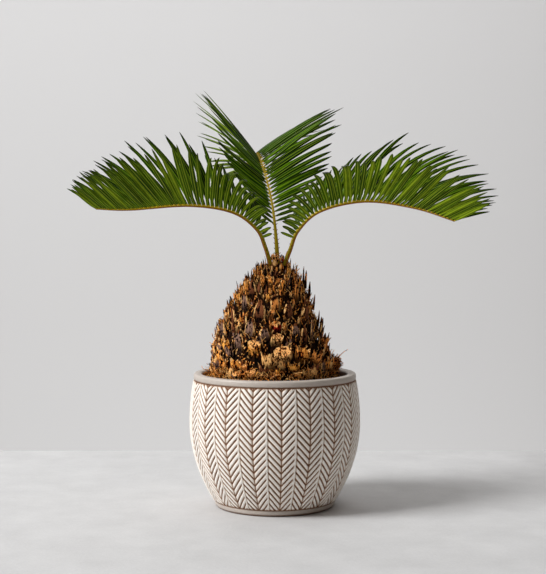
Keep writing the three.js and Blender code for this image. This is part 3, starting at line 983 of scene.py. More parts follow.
def small_shapes():
    """Every unit shape, in a collection that lists them in the order of their numbers."""
    base, shield, needle = LEAF_BASE_SECTION, SHIELD_SECTION, NEEDLE_SECTION
    torn = [(x * 0.95 + 0.2, y, end) for (x, y), end in zip(base, TORN_ENDS)]
    torn_heart = [(x * 0.4 + 0.2, y * 0.4, end * 0.4 + 0.35) for (x, y), end in zip(base, TORN_ENDS)]
    shapes = [
        small_shape(CUT_BASE, "cut_base", [
            ring_of(base, 0.0, 0.4, 0.7), ring_of(base, 0.4, 0.85, 0.95, 0.05),
            ring_of(base, 0.9, 0.95, 1.0, 0.2, 0.34), ring_of(base, 0.88, 0.8, 0.86, 0.2, 0.33),
        ], (BODY, BODY, RIM_PART, CUT_PART)),
        small_shape(TORN_BASE, "torn_base", [
            ring_of(base, 0.0, 0.35, 0.75), ring_of(base, 0.4, 0.8, 0.95, 0.1), torn, torn_heart,
        ], (BODY, BODY, RIM_PART, CUT_PART)),
        small_shape(SHIELD, "shield", [
            ring_of(shield, 0.0, 0.5, 0.75), ring_of(shield, 0.3, 1.0, 1.0),
            ring_of(shield, 0.62, 0.85, 0.88, 0.05), ring_of(shield, 0.86, 0.5, 0.52, 0.12),
            ring_of(shield, 1.0, 0.12, 0.1, 0.2),
        ], (SHIELD_EDGES, SHIELD_EDGES, SHIELD_EDGES, TIP_PART, TIP_PART)),
        small_shape(NEEDLE, "needle", [
            ring_of(needle, 0.0, 1.0, 1.0), ring_of(needle, 0.45, 0.95, 0.9, -0.1),
            ring_of(needle, 0.8, 0.6, 0.6, 0.1), ring_of(needle, 1.0, 0.14, 0.14, 0.35),
        ], (BODY, BODY, TIP_PART, TIP_PART)),
        small_shape(GRAIN, "grain", [
            ring_of(needle, 0.0, 0.5, 0.6), ring_of(needle, 0.5, 1.0, 1.0, -0.1),
            ring_of(needle, 1.0, 0.4, 0.5),
        ], (BODY, BODY, BODY)),
    ]
    collection = bpy.data.collections.new("small_shapes")
    for shape in shapes:
        collection.objects.link(shape)
        bpy.context.scene.collection.objects.unlink(shape)
    return collection


def scatter(name, spots, finishes, parts_from, lump=3.0, reach=0.4):
    """Sets a small shape on every spot, roughens them and gives each face its finish.

    A spot is its place, the way it points, the way its outer face looks, its thickness,
    width and length, its shape and its shade, which is the place of a finish in the list.
    From parts_from on, the list holds the finishes of the tips, the rims and the cuts.
    """
    piece = make_piece(name, [spot[0] * MM for spot in spots], [])
    mark(piece, "tip", [spot[1] for spot in spots], "FLOAT_VECTOR")
    mark(piece, "outward", [spot[2] for spot in spots], "FLOAT_VECTOR")
    mark(piece, "size", [np.array(spot[3]) * MM for spot in spots], "FLOAT_VECTOR")
    mark(piece, "shape", [spot[4] for spot in spots])
    mark(piece, "shade", [spot[5] for spot in spots])

    recipe = Recipe(name, Lump=lump * MM, Reach=reach * MM)
    shapes = recipe.add("GeometryNodeCollectionInfo", {
        "Collection": SHAPES, "Separate Children": True, "Reset Children": True})
    turn = recipe.add("FunctionNodeAxesToRotation", {
        "Primary Axis": recipe.named("tip", "FLOAT_VECTOR"),
        "Secondary Axis": recipe.named("outward", "FLOAT_VECTOR")},
        primary_axis="Z", secondary_axis="X")
    grown = recipe.add("GeometryNodeInstanceOnPoints", {
        "Points": recipe.start(), "Instance": shapes, "Pick Instance": True,
        "Instance Index": recipe.named("shape"), "Rotation": turn,
        "Scale": recipe.named("size", "FLOAT_VECTOR")})
    grown = recipe.add("GeometryNodeRealizeInstances", {"Geometry": grown})
    grown = recipe.roughen(grown, recipe.size("Lump"), recipe.size("Reach"))
    part = recipe.named("part")
    is_body = recipe.math("LESS_THAN", part, 0.5)
    number = recipe.named("shade") * is_body + (part + (parts_from - 1)) * (1 - is_body)
    return recipe.run(piece, recipe.deal(grown, finishes, number))


def grow_fibres(name, fibres, finishes):
    """Thin stalks along lines. A fibre is its points, its half width and its shade."""
    lines = Lines()
    for line, half_width, shade in fibres:
        thinning = 1 - FIBRE_TAPER * np.arange(len(line)) / len(line)
        lines.add(line, half_width=half_width * MM * thinning, shade=shade)
    piece = lines.piece(name)
    recipe = Recipe(name, Sides=4)
    line = recipe.add("GeometryNodeMeshToCurve", {"Mesh": recipe.start()})
    outline = recipe.add("GeometryNodeCurvePrimitiveCircle", {"Resolution": recipe.size("Sides")})
    grown = recipe.add("GeometryNodeCurveToMesh", {
        "Curve": line, "Profile Curve": outline, "Fill Caps": True,
        "Scale": recipe.named("half_width")})
    return recipe.run(piece, recipe.deal(grown, finishes, recipe.named("shade")))


# ---- Soil: dark potting mix with grains and root fibres --------------------------------------

SOIL_HEIGHT = 125.7
SOIL_EDGE_DIP = 2.4
SOIL_EDGE_WIDTH = 5.0
SOIL_GAP = 0.3
SOIL_RADIUS = RIM_INNER_RADIUS - SOIL_GAP
SOIL_SIDES = 96
SOIL_RINGS = 24
SOIL_STILL_EDGE = 0.8       # how far in from the wall its surface starts to be rough
SOIL_ROUGHNESS = 0.5
GRAIN_COUNT = 1500
GRAINS_FROM = 60.0                  # how far from the pot's axis they start, under the trunk
GRAIN_SHADES = (0, 0, 0, 1, 1, 2)   # how often each of the three finishes comes


def earth_finish(name, dark, light):
    earth = Finish(name, roughness=0.95, specular=0.15)
    lumps = earth.cloud(0.0016, detail=4, roughness=0.65)
    earth.set("Base Color", earth.ramp(lumps, (0.4, dark), (0.62, light)))
    earth.bump(lumps, 0.0006)
    return earth


def soil_dip(inward):
    """How far the soil dips, that far in from the pot's wall."""
    return SOIL_EDGE_DIP * max(1 - inward / SOIL_EDGE_WIDTH, 0) ** 2


def build_soil_bed(mix):
    low = FLOOR_THICKNESS + SOIL_GAP
    side = [(wall_radius(height) - WALL_THICKNESS - SOIL_GAP, height)
            for height in np.linspace(low + FLOOR_BEVEL, INNER_TOP_HEIGHT, INNER_RINGS)]
    profile = [(POLE_RADIUS, low), (side[0][0] - FLOOR_BEVEL, low), *side,
               (SOIL_RADIUS, SOIL_HEIGHT - SOIL_EDGE_DIP)]
    for inward in np.linspace(0.1, 1, SOIL_RINGS) * (SOIL_RADIUS - POLE_RADIUS):
        profile.append((SOIL_RADIUS - inward, SOIL_HEIGHT - soil_dip(inward)))
    outwards = np.array([spoke(side * 2 * math.pi / SOIL_SIDES) for side in range(SOIL_SIDES)])
    points = np.concatenate([outwards * radius * MM + UP * height * MM for radius, height in profile])
    soil = make_piece("soil_bed", points, ring_faces(len(profile), SOIL_SIDES))
    is_top = points[:, 2] > (SOIL_HEIGHT - 1.0) * MM
    is_inside = np.hypot(points[:, 0], points[:, 1]) < (SOIL_RADIUS - SOIL_STILL_EDGE) * MM
    mark(soil, "loose", is_top & is_inside)
    recipe = Recipe("soil_surface", Lump=4 * MM, Reach=SOIL_ROUGHNESS * MM)
    reach = recipe.size("Reach") * recipe.named("loose")
    rough = recipe.roughen(recipe.start(), recipe.size("Lump"), reach, detail=4)
    recipe.run(soil, recipe.deal(rough, [mix], 0.0))
    settle(smooth(soil), "soil", "soil")


def build_grains(mix, chance):
    spots = []
    for _ in range(GRAIN_COUNT):
        angle = chance.uniform(-math.pi, math.pi)
        radius = chance.uniform(GRAINS_FROM, RIM_INNER_RADIUS - 1.6)
        size = chance.uniform(0.5, 1.5) * chance.uniform(0.6, 1)
        height = SOIL_HEIGHT - soil_dip(SOIL_RADIUS - radius) - 0.1
        place = np.array([radius * math.cos(angle), radius * math.sin(angle), height])
        tip = unit([chance.gauss(0, 1), chance.gauss(0, 1), abs(chance.gauss(0, 1)) + 0.3])
        outward = [chance.gauss(0, 1), chance.gauss(0, 1), chance.gauss(0, 1)]
        thickness = size * chance.uniform(0.5, 1)
        spots.append((place, tip, outward, (thickness, size, size * chance.uniform(0.8, 1.8)),
                      GRAIN, chance.choice(GRAIN_SHADES)))
    finishes = [mix, earth_finish("peat_grain", (36, 22, 14), (92, 60, 38)),
                earth_finish("bark_grain", (84, 56, 34), (150, 112, 74))]
    settle(scatter("soil_grains", spots, finishes, 3, lump=1.0, reach=0.15), "soil")


def build_soil():
    mix = earth_finish("potting_mix", (17, 11, 8), (66, 42, 28))
    build_soil_bed(mix)
    build_grains(mix, random.Random(3))


# ---- Trunk: a bulb of old leaf bases on a dark, rough core ------------------------------------

TRUNK_FOOT = SOIL_HEIGHT + 0.3
TRUNK_TOP = 239.7
TRUNK_APEX = 246.0
TRUNK_RADIUS = 60.5
TRUNK_TAPER = (1.4, 0.58)
FLARE = (0.8, 7.0)                  # how far the foot flares out and how tall the flare is
TRUNK_LEAN = (-2.0, -6.0, 3.0)      # how far to the side its foot, middle and top stand
ROOT_LUMP = (8.0, -0.12, 0.16, 143.0, 9.0)      # reach, angle, spread, height, tallness
CORE_DEPTH = 3.6
CORE_SIDES = 110
CORE_RINGS = 56
CORE_TOP = TRUNK_TOP + 2.5
CORE_TOP_NARROWING = 0.6
CORE_LEAST_RADIUS = 1.5
STEEPEST_SLOPE = 1.6                # the most that the slope counts for, near the top
GOLDEN_ANGLE = math.radians(137.508)

# Splinters, and fibres on the bark, round the foot and on the root lump
SPLINTER_COUNT = 1100
BARK_FIBRE_COUNT = 620
FOOT_FIBRE_COUNT = 1100
FOOT_FIBRE_HEIGHT = 15.0
ROOT_FIBRE_COUNT = 400
FIBRE_DEPTH = 2.0                   # how far a fibre may run under the trunk's surface
FIBRE_REACH = 14.0                  # and how far off it, above the pot
POT_CLEARANCE = 1.2                 # between the fibres and the pot's wall
TWIG = ((3, -3, 4), (5.5, -4, 7), (8, -4, 10), (11, -4, 12.5), (14.5, -4, 14.5))

RUST, BROWN, DARK, GREY, TAN, OCHRE, RED = range(7)
BARK_SHADES = {
    "bark_rust": ((12, 2, 0), (196, 76, 14), (255, 172, 80)),
    "bark_brown": ((8, 2, 0), (144, 60, 16), (250, 162, 82)),
    "bark_dark": ((4, 1, 1), (64, 32, 20), (134, 80, 50)),
    "bark_grey": ((6, 3, 3), (88, 64, 57), (148, 114, 96)),
    "bark_tan": ((22, 7, 1), (236, 140, 64), (255, 200, 126)),
    "bark_ochre": ((24, 7, 0), (222, 112, 26), (255, 180, 84)),
    "bark_red": ((10, 1, 1), (110, 10, 8), (176, 44, 30)),
    "bark_tip": ((4, 2, 1), (34, 17, 9), (130, 76, 42)),
    "cut_rim": ((40, 14, 3), (238, 148, 74), (255, 204, 134)),
    "cut_heart": ((56, 22, 6), (230, 136, 64), (255, 190, 116)),
}
BARK_PARTS = len(BARK_SHADES) - 3   # where the finishes of the tips, rims and cuts start

# Against the height of the trunk: the surface that each leaf base takes up, in square mm,
# how far it leans out, and how often each shape and each shade comes
BASE_AREA = ((0, 110), (0.35, 84), (0.5, 58), (0.7, 36), (1, 18))
BASE_LEAN = ((0, 0.06), (0.3, 0.12), (0.6, 0.1), (1, 0.04))
BASE_SHAPES = {
    CUT_BASE: ((0, 12), (0.25, 14), (0.4, 2), (1, 0)),
    TORN_BASE: ((0, 44), (0.3, 26), (0.5, 16), (1, 12)),
    SHIELD: ((0, 24), (0.3, 44), (0.5, 40), (1, 24)),
    NEEDLE: ((0, 20), (0.3, 16), (0.5, 40), (1, 64)),
}
SHADE_SHARES = {
    RUST: ((0, 10), (0.4, 10), (0.6, 36), (1, 46)),
    BROWN: ((0, 20), (0.4, 22), (1, 22)),
    DARK: ((0, 8), (0.4, 20), (1, 18)),
    GREY: ((0, 14), (0.4, 34), (0.6, 20), (1, 4)),
    TAN: ((0, 30), (0.4, 9), (1, 5)),
    OCHRE: ((0, 10), (0.4, 3), (1, 6)),
}
# A leaf base's thickness and width against the root of its surface, and its length, which is
# so many times that root plus so many millimetres
BASE_SIZES = {
    CUT_BASE: (0.5, 1.05, 1.3, 2),
    TORN_BASE: (0.5, 1.05, 1.3, 2),
    SHIELD: (0.34, 0.95, 1.3, 6),
    NEEDLE: (0.28, 0.46, 1.4, 8),
}
BASE_SPREAD = (0.8, 1.2)
BASE_CUTS = (1.0, 0.7, 0.45)        # how far one may be cut back where it meets a stalk
COVERED_WIDTH = 0.25                # how much of its width and its length keeps clear of a
COVERED_LENGTH = 0.15               # large one
LOOSE_SHARE = 0.25                  # of them lean out further, by LOOSE_LEAN
LOOSE_LEAN = 0.25
SLOPE_DEPTH = 0.15                  # how much deeper they are set where the trunk slopes
SLOPE_LEAN = 0.25                   # and how much further in they lean
# How leaf bases differ: the step round the trunk, the height in millimetres, the lean, and the
# ways that their tips and their outer faces look
STEP_SCATTER = 0.08
HEIGHT_SCATTER = 2.2
LEAN_SCATTER = 0.06
TIP_SCATTER = 0.13
FACE_SCATTER = 0.16
LOWER_BIAS = 1.1                    # above 1, more of the splinters and fibres stand low

LARGE_LEAN = 0.2
LARGE_COVER = 0.4                   # how far each large one covers, against its width and length
SHIELD_THICKNESS = 0.3              # against its width
BASE_THICKNESS = 0.45
# Large leaf bases at the front: how far right, foot and end heights, width, shape and shade
LARGE_BASES = (
    (8.9, 146, 164, 18, CUT_BASE, TAN), (25.4, 147, 164, 15, TORN_BASE, RUST),
    (-46.6, 153, 172, 13, TORN_BASE, OCHRE), (-21.8, 154, 170, 13, CUT_BASE, OCHRE),
    (-25.0, 168, 192, 13, SHIELD, GREY), (-35.0, 156, 180, 12, SHIELD, GREY),
    (-4.6, 140, 160, 17, TORN_BASE, TAN), (2.8, 176, 188, 9, CUT_BASE, RED),
    (2.4, 164, 176, 11, CUT_BASE, TAN), (-10.0, 168, 183, 12, SHIELD, GREY),
    (19.4, 168, 186, 12, SHIELD, GREY), (-2.6, 164, 176, 4, NEEDLE, TAN),
    (18.0, 138, 150, 13, TORN_BASE, OCHRE), (38.0, 142, 158, 14, TORN_BASE, BROWN),
    (-38.0, 138, 153, 14, TORN_BASE, RUST), (42.0, 158, 190, 7, SHIELD, DARK),
    (34.5, 160, 194, 8, SHIELD, GREY), (46.5, 148, 176, 6, NEEDLE, BROWN),
    (14.2, 225, 243, 6.5, CUT_BASE, OCHRE), (-37.0, 178, 202, 11, SHIELD, DARK),
    (-14.0, 184, 209, 13, SHIELD, DARK), (-27.0, 194, 215, 10, SHIELD, GREY),
    (0.5, 192, 214, 11, SHIELD, BROWN), (13.5, 184, 208, 12, SHIELD, DARK),
    (26.5, 180, 207, 11, SHIELD, DARK), (-19.0, 207, 228, 9, SHIELD, DARK),
    (20.5, 203, 226, 8, SHIELD, BROWN), (-50.0, 166, 188, 9, SHIELD, GREY),
    (27.5, 162, 184, 10, SHIELD, DARK), (-16.0, 160, 176, 9, SHIELD, GREY),
    (-26.0, 210, 226, 7, TORN_BASE, RUST), (6.0, 210, 230, 8, SHIELD, RUST),
)
# Dark red bracts between the green stalks: place, thickness, width and length
BRACTS = (((11.5, -3.5, 245), (1.6, 3.2, 10)), ((7.5, -1.5, 240), (1.4, 2.6, 11)),
          ((-1.5, -7.5, 238), (1.4, 2.4, 9)))
SPIKE_LEAN = 0.04                   # how far a spike leans out, against how far right it ends
# Spikes that stand free at its outline: how far right, end height and length
SPIKES = (
    (-18.8, 243, 16), (-12.8, 242, 13), (-26.8, 233, 16), (-23.8, 231, 14), (-33.3, 222, 14),
    (-45.3, 207, 14), (-47.8, 194, 14), (-54.8, 188, 14), (-57.8, 185, 16), (-60.0, 179, 18),
    (-60.0, 163, 18), (-59.5, 156, 16), (22.0, 241, 16), (29.0, 240, 20), (31.5, 236, 18),
    (35.2, 225, 18), (40.0, 212, 16), (44.5, 196, 16), (46.5, 190, 18), (47.2, 189, 12),
    (49.0, 171, 12),
)

# The dry stub: its two ends, its radius along it, and the scales round its end
STUB = ((0.4, -8.4, 237.0), (0.6, -9.6, 251.0))
STUB_RADII = ((0, 2.2), (0.4, 2.5), (0.62, 2.8), (0.75, 3.2), (0.92, 3.0), (1, 1.8))
STUB_SIDES = 12
STUB_RINGS = 15
STUB_WAVE = 0.08                    # how far its outline swells and narrows
STUB_CLEARANCE = 5.0                # in front of it, where no leaf base stands
STALKS_FROM = TRUNK_TOP - 5.0       # the height from which leaf bases keep clear of stalks
SCALE_COUNT = 26
SCALE_PLACES = (0.58, 0.98)         # along the stub, from the first to the last
SCALE_LEANS = (0.9, 0.2)

# Spines along a green stalk: how far up the first pair stands, and from pair to pair
SPINE_START = 7.0
SPINE_GAP = 5.0

# How often each shade comes
SPIKE_SHADES = (BROWN, DARK)
SPLINTER_SHADES = (TAN, TAN, TAN, RUST, RUST, BROWN)
BARK_FIBRE_SHADES = (RUST, TAN, TAN, TAN, OCHRE)
FOOT_FIBRE_SHADES = (TAN, TAN, TAN, OCHRE, BROWN, RUST)
ROOT_FIBRE_SHADES = (BROWN, DARK, RUST, DARK, BROWN)
SCALE_SHADES = (RUST, RUST, TAN, BROWN)
FRONT = np.array([0, -1.0, 0])


def trunk_radius(height):
    share = min((height - TRUNK_FOOT) / (TRUNK_APEX - TRUNK_FOOT), 1.0)
    taper = (1 - max(share, 0.0) ** TRUNK_TAPER[0]) ** TRUNK_TAPER[1]
    return TRUNK_RADIUS * taper + FLARE[0] * math.exp(-(height - TRUNK_FOOT) / FLARE[1])


def trunk_slope(height):
    """How much the trunk narrows over the next millimetre."""
    return min(trunk_radius(height) - trunk_radius(height + 1.0), STEEPEST_SLOPE)


def trunk_spot(angle, height, depth=0.0):
    """A point under the trunk's surface, and the level way outwards there."""
    share = (height - TRUNK_FOOT) / (TRUNK_TOP - TRUNK_FOOT)
    foot, middle, top = TRUNK_LEAN
    across = blend(foot, top, share) + (middle - (foot + top) / 2) * 4 * share * (1 - share)
    reach, turned, spread, lump_height, tallness = ROOT_LUMP
    sideways = (math.remainder(angle - turned, 2 * math.pi)) / spread
    upright = (height - lump_height) / tallness
    lump = reach * math.exp(-sideways ** 2 - upright ** 2)
    outward = spoke(angle)
    radius = max(trunk_radius(height) + lump - depth, 0.0)
    return np.array([across, 0, height]) + outward * radius, outward


def bark_finish(name, dark, middle, light):
    """Dry fibrous bark: black pits, streaks along it and pale worn edges, with painted shade darkening
    each piece towards its foot.
    """
    bark = Finish(name, roughness=0.85, specular=0.05)
    streaks = bark.cloud(0.0015, detail=2, roughness=0.6, stretch=(1.0, 1.0, 0.16))
    pits = bark.cloud(0.0034, detail=3, roughness=0.65)
    level = streaks * 0.6 + pits * 0.4
    colour = bark.ramp(level, (0.466, dark), (0.484, middle), (0.504, light))
    # Painted shade: each piece turns towards its dark colour towards its foot, where it tucks in among
    # the others
    sunken = bark.fade(bark.attribute("sunken"), 0.4, 0.8)
    bark.set("Base Color", bark.mix(sunken * 0.85, colour, dark))
    bark.bump(level, 0.0012)
    return bark


def build_core(finish):
    """The body between the leaf bases, near black as painted shade in the gaps, rough all over and
    rounded at its top.
    """
    heights = [*np.linspace(TRUNK_FOOT, TRUNK_TOP, CORE_RINGS), CORE_TOP]
    points = []
    for height in heights:
        radius = trunk_radius(height)
        depth = CORE_DEPTH + (radius * CORE_TOP_NARROWING if height > TRUNK_TOP else 0)
        depth = min(depth, radius - CORE_LEAST_RADIUS)
        for k in range(CORE_SIDES):
            angle = -math.pi + 2 * math.pi * k / CORE_SIDES
            points.append(trunk_spot(angle, height, depth)[0] * MM)
    core = make_piece("trunk_core", points, ring_faces(len(heights), CORE_SIDES))
    mark(core, "loose", [1.0 if point[2] > (TRUNK_FOOT + 0.2) * MM else 0.0 for point in points])
    recipe = Recipe("trunk_core", Lump=7 * MM, LumpReach=1.5 * MM, Pit=2 * MM, PitReach=0.7 * MM)
    loose = recipe.named("loose")
    rough = recipe.roughen(recipe.start(), recipe.size("Lump"), recipe.size("LumpReach") * loose)
    rough = recipe.roughen(rough, recipe.size("Pit"), recipe.size("PitReach") * loose, detail=4)
    recipe.run(core, recipe.deal(rough, [finish], 0.0))
    settle(smooth(core), "trunk", "trunk")


def choose(shares, share, chance):
    weights = [value_at(table, share) for table in shares.values()]
    return chance.choices(list(shares), weights)[0]


def base_size(shape, area, chance):
    """Thickness, width and length of a leaf base that takes up that much surface."""
    across = math.sqrt(area) * chance.uniform(*BASE_SPREAD)
    stretch = chance.uniform(*BASE_SPREAD)
    thickness, width, length, extra = BASE_SIZES[shape]
    return (across * thickness, across * width, (across * length + extra) * stretch)


def leaf_base(angle, height, size, shape, shade, lean, chance):
    """One leaf base whose foot is sunk into the core at that height."""
    slope = trunk_slope(height + size[2] / 2)
    depth = CORE_DEPTH + SLOPE_DEPTH * slope * size[2]
    place, outward = trunk_spot(angle, max(height, TRUNK_FOOT + 0.5), depth)
    aside = np.cross(UP, outward)
    lean -= SLOPE_LEAN * slope
    tip = unit(UP + outward * lean + aside * chance.gauss(0, TIP_SCATTER))
    face = unit(outward + aside * chance.gauss(0, FACE_SCATTER))
    return (place, tip, face, size, shape, shade)


def meets_stalk(place, tip, size):
    """Whether a leaf base would run into a green stalk or the dry stub."""
    stalks = [np.array(plan["route"][:3], float) for plan in FRONDS.values()]
    stalks += [np.array(STUB), np.array(STUB) - (0, STUB_CLEARANCE, 0)]
    for share in (0.6, 0.8, 1.0):
        point = place + tip * size[2] * share
        for stalk in stalks:
            centre = [np.interp(point[2], stalk[:, 2], stalk[:, k]) for k in (0, 1)]
            gap = np.hypot(*(point[:2] - centre)) - STALK_RADIUS - size[1] / 2
            if point[2] > STALKS_FROM and gap < 0:
                return True
    return False


def large_bases(chance):
    """The large leaf bases at the front, and the middle and reach of what each one covers."""
    spots, covered = [], []
    for across, foot, end, width, shape, shade in LARGE_BASES:
        middle = (foot + end) / 2
        axis = trunk_spot(math.pi / 2, middle)[0][0]
        angle = -math.acos((across - axis) / max(trunk_radius(middle), abs(across - axis) + 0.1))
        thickness = SHIELD_THICKNESS if shape == SHIELD else BASE_THICKNESS
        size = (width * thickness, width, end - foot)
        spots.append(leaf_base(angle, foot, size, shape, shade, LARGE_LEAN, chance))
        cover = (width * LARGE_COVER, (end - foot) * LARGE_COVER)
        covered.append((trunk_spot(angle, middle)[0], *cover))
    return spots, covered


def outline_spikes(chance):
    spots = []
    for across, end, length in SPIKES:
        foot = across * (1 - SPIKE_LEAN)
        place = np.array([foot, chance.uniform(-9, -2), end - length])
        size = (chance.uniform(1.6, 2.2), chance.uniform(2.2, 3.2), length)
        tip = unit([across * SPIKE_LEAN / length, 0, 1])
        spots.append((place, tip, FRONT, size, NEEDLE, chance.choice(SPIKE_SHADES)))
    return spots


def is_covered(point, size, covered):
    """Whether a leaf base of that size would stand too close to a large one."""
    for middle, wide, tall in covered:
        aside = np.linalg.norm((point - middle)[:2])
        above = abs(point[2] - middle[2])
        if aside < wide + size[1] * COVERED_WIDTH and above < tall + size[2] * COVERED_LENGTH:
            return True
    return False


def spiral_bases(covered, chance):
    """Leaf bases in a spiral from the foot to the top, except where a large one covers them."""
    spots = []
    angle, height = 0.0, TRUNK_FOOT + 5.0
    while height < TRUNK_APEX - 3.0:
        share = (height - TRUNK_FOOT) / (TRUNK_APEX - TRUNK_FOOT)
        area = value_at(BASE_AREA, share)
        height += area / (2 * math.pi * trunk_radius(height) * math.hypot(1.0, trunk_slope(height)))
        angle += GOLDEN_ANGLE + chance.gauss(0, STEP_SCATTER)
        shape = choose(BASE_SHAPES, share, chance)
        shade = choose(SHADE_SHARES, share, chance)
        size = base_size(shape, area, chance)
        lean = value_at(BASE_LEAN, share) + chance.gauss(0, LEAN_SCATTER)
        if chance.random() < LOOSE_SHARE:
            lean += LOOSE_LEAN
        foot = height - size[2] * 0.4 + chance.gauss(0, HEIGHT_SCATTER)
        spot = leaf_base(angle, foot, size, shape, shade, lean, chance)
        if is_covered(trunk_spot(angle, height)[0], size, covered):
            continue
        for cut in BASE_CUTS:
            shorter = (size[0], size[1], size[2] * cut)
            if not meets_stalk(*spot[:2], shorter):
                spots.append((*spot[:3], shorter, *spot[4:]))
                break
    return spots


def leaf_bases(chance):
    spots, covered = large_bases(chance)
    spots += outline_spikes(chance)
    for place, size in BRACTS:
        spots.append((np.array(place, float), unit([0.1, -0.1, 1]), FRONT, size, SHIELD, RED))
    return spots + spiral_bases(covered, chance)


def bark_splinters(chance):
    """Small splinters and flakes that cling all over the leaf bases."""
    spots = []
    for _ in range(SPLINTER_COUNT):
        height = blend(TRUNK_FOOT + 1, TRUNK_TOP - 8, chance.random() ** LOWER_BIAS)
        angle = chance.uniform(-math.pi, math.pi)
        place, outward = trunk_spot(angle, height, chance.uniform(-1.6, 1.4))
        aside = np.cross(UP, outward)
        tip = unit(UP + aside * chance.gauss(0, 0.9) + outward * chance.gauss(0, 0.25))
        width = chance.uniform(0.8, 1.8)
        size = (width * 0.6, width, chance.uniform(2.0, 6.0))
        shade = chance.choice(SPLINTER_SHADES)
        spots.append((place, tip, outward, size, chance.choice((NEEDLE, GRAIN)), shade))
    return spots


def keep_outside(point):
    """Keeps a fibre on the soil, inside the pot and out of the trunk."""
    point = point.copy()
    point[2] = max(point[2], SOIL_HEIGHT + 0.3)
    angle = math.atan2(point[1], point[0])
    surface = trunk_spot(angle, point[2], FIBRE_DEPTH)[0]
    radius, least = math.hypot(point[0], point[1]), math.hypot(surface[0], surface[1])
    inside_pot = point[2] < POT_HEIGHT + 1
    most = RIM_INNER_RADIUS - POT_CLEARANCE if inside_pot else least + FIBRE_REACH
    wanted = min(max(radius, least), most)
    point[:2] *= wanted / max(radius, 0.1)
    return point


def stray_line(start, heading, length, wander, chance, steps=5):
    """A fibre's line, which strays as it goes."""
    point = keep_outside(np.array(start, float))
    heading = unit(heading)
    line = [point]
    for _ in range(steps):
        heading = unit(heading + wander * np.array([chance.gauss(0, 1) for _ in range(3)]))
        point = keep_outside(point + heading * length / steps)
        line.append(point)
    return line


def bark_fibres(chance):
    """Short fibres that stand off the bark all over."""
    fibres = []
    for _ in range(BARK_FIBRE_COUNT):
        height = blend(TRUNK_FOOT + 3, TRUNK_TOP - 4, chance.random() ** LOWER_BIAS)
        start, outward = trunk_spot(chance.uniform(-math.pi, math.pi), height, -0.6)
        heading = UP + np.cross(UP, outward) * chance.gauss(0, 0.5)
        shade = chance.choice(BARK_FIBRE_SHADES)
        line = stray_line(start, heading, chance.uniform(4, 9), 0.3, chance, 4)
        fibres.append((line, chance.uniform(0.3, 0.55), shade))
    return fibres


def foot_fibres(chance):
    """A mat of tangled fibres round the foot."""
    fibres = []
    for _ in range(FOOT_FIBRE_COUNT):
        angle = chance.uniform(-math.pi, math.pi)
        height = TRUNK_FOOT + chance.uniform(0.5, FOOT_FIBRE_HEIGHT)
        start, outward = trunk_spot(angle, height, chance.uniform(-1, 3))
        heading = np.cross(UP, outward) * chance.gauss(0, 1) + UP * chance.gauss(0, 0.7)
        heading = heading + outward * 0.2
        shade = chance.choice(FOOT_FIBRE_SHADES)
        line = stray_line(start, heading, chance.uniform(5, 13), 0.6, chance)
        fibres.append((line, chance.uniform(0.28, 0.55), shade))
    return fibres


def root_fibres(chance):
    """A tuft of fine roots on the lump at the right foot, with one dry twig."""
    fibres = []
    tuft, _ = trunk_spot(ROOT_LUMP[1], ROOT_LUMP[3], 3.0)
    for _ in range(ROOT_FIBRE_COUNT):
        way = unit([chance.uniform(0.1, 1), chance.gauss(0, 0.7), chance.gauss(0.1, 0.6)])
        start = tuft + way * chance.uniform(0, 4)
        line = stray_line(start, way, chance.uniform(3, 9), 0.3, chance)
        fibres.append((line, chance.uniform(0.25, 0.6), chance.choice(ROOT_FIBRE_SHADES)))
    fibres.append((tuft + np.array(TWIG), 0.45, BROWN))
    return fibres


def build_stub(finishes):
    """The dry stub of an old stalk, a pale, worn shaft."""
    foot, end = np.array(STUB)
    points = []
    for ring in range(STUB_RINGS):
        share = ring / (STUB_RINGS - 1)
        for k in range(STUB_SIDES):
            turn = 2 * math.pi * k / STUB_SIDES
            wave = STUB_WAVE * math.cos(3 * turn + 5 * share)
            radius = value_at(STUB_RADII, share) * (1 + wave)
            points.append((blend(foot, end, share) + spoke(turn) * radius) * MM)
    stub = make_piece("stalk_stub", points, ring_faces(STUB_RINGS, STUB_SIDES), [finishes[TAN]])
    settle(smooth(stub), "trunk", "old_stalk_stub")


def stub_scales(chance):
    """The ragged brown scales round the stub's end."""
    foot, end = np.array(STUB)
    spots = []
    for k in range(SCALE_COUNT):
        share = blend(*SCALE_PLACES, k / SCALE_COUNT)
        outward = spoke(GOLDEN_ANGLE * k)
        place = blend(foot, end, share) + outward * (value_at(STUB_RADII, share) - 0.9)
        tip = unit(UP + outward * blend(*SCALE_LEANS, k / SCALE_COUNT))
        size = (1.0, 2.1, chance.uniform(2.6, 4.0))
        spots.append((place, tip, outward, size, SHIELD, chance.choice(SCALE_SHADES)))
    return spots


def build_spines(chance):
    """Short dark spines along both edges of the green stalks, below the leaflets."""
    spots = []
    for name, plan in FRONDS.items():
        frond = Frond(name, plan)
        distance = SPINE_START
        while distance < frond.leafy_from:
            for hand in (-1, 1):
                centre, along, side, face = frond.at(distance + chance.uniform(-1, 1))
                out = unit(side * hand + face * 0.3)
                place = centre + out * (frond.radius(distance) - 0.5)
                size = (0.7, 1.0, chance.uniform(2.0, 3.0))
                spots.append((place, unit(out + along * 0.7), along, size, NEEDLE, 0))
            distance += SPINE_GAP
    finishes = [bark_finish("spine", (40, 4, 0), (104, 28, 10), (150, 66, 20)),
                bark_finish("spine_tip", (14, 4, 0), (56, 20, 8), (100, 44, 16))]
    settle(scatter("stalk_spines", spots, finishes, 1, lump=1.0, reach=0.05), "stalk")


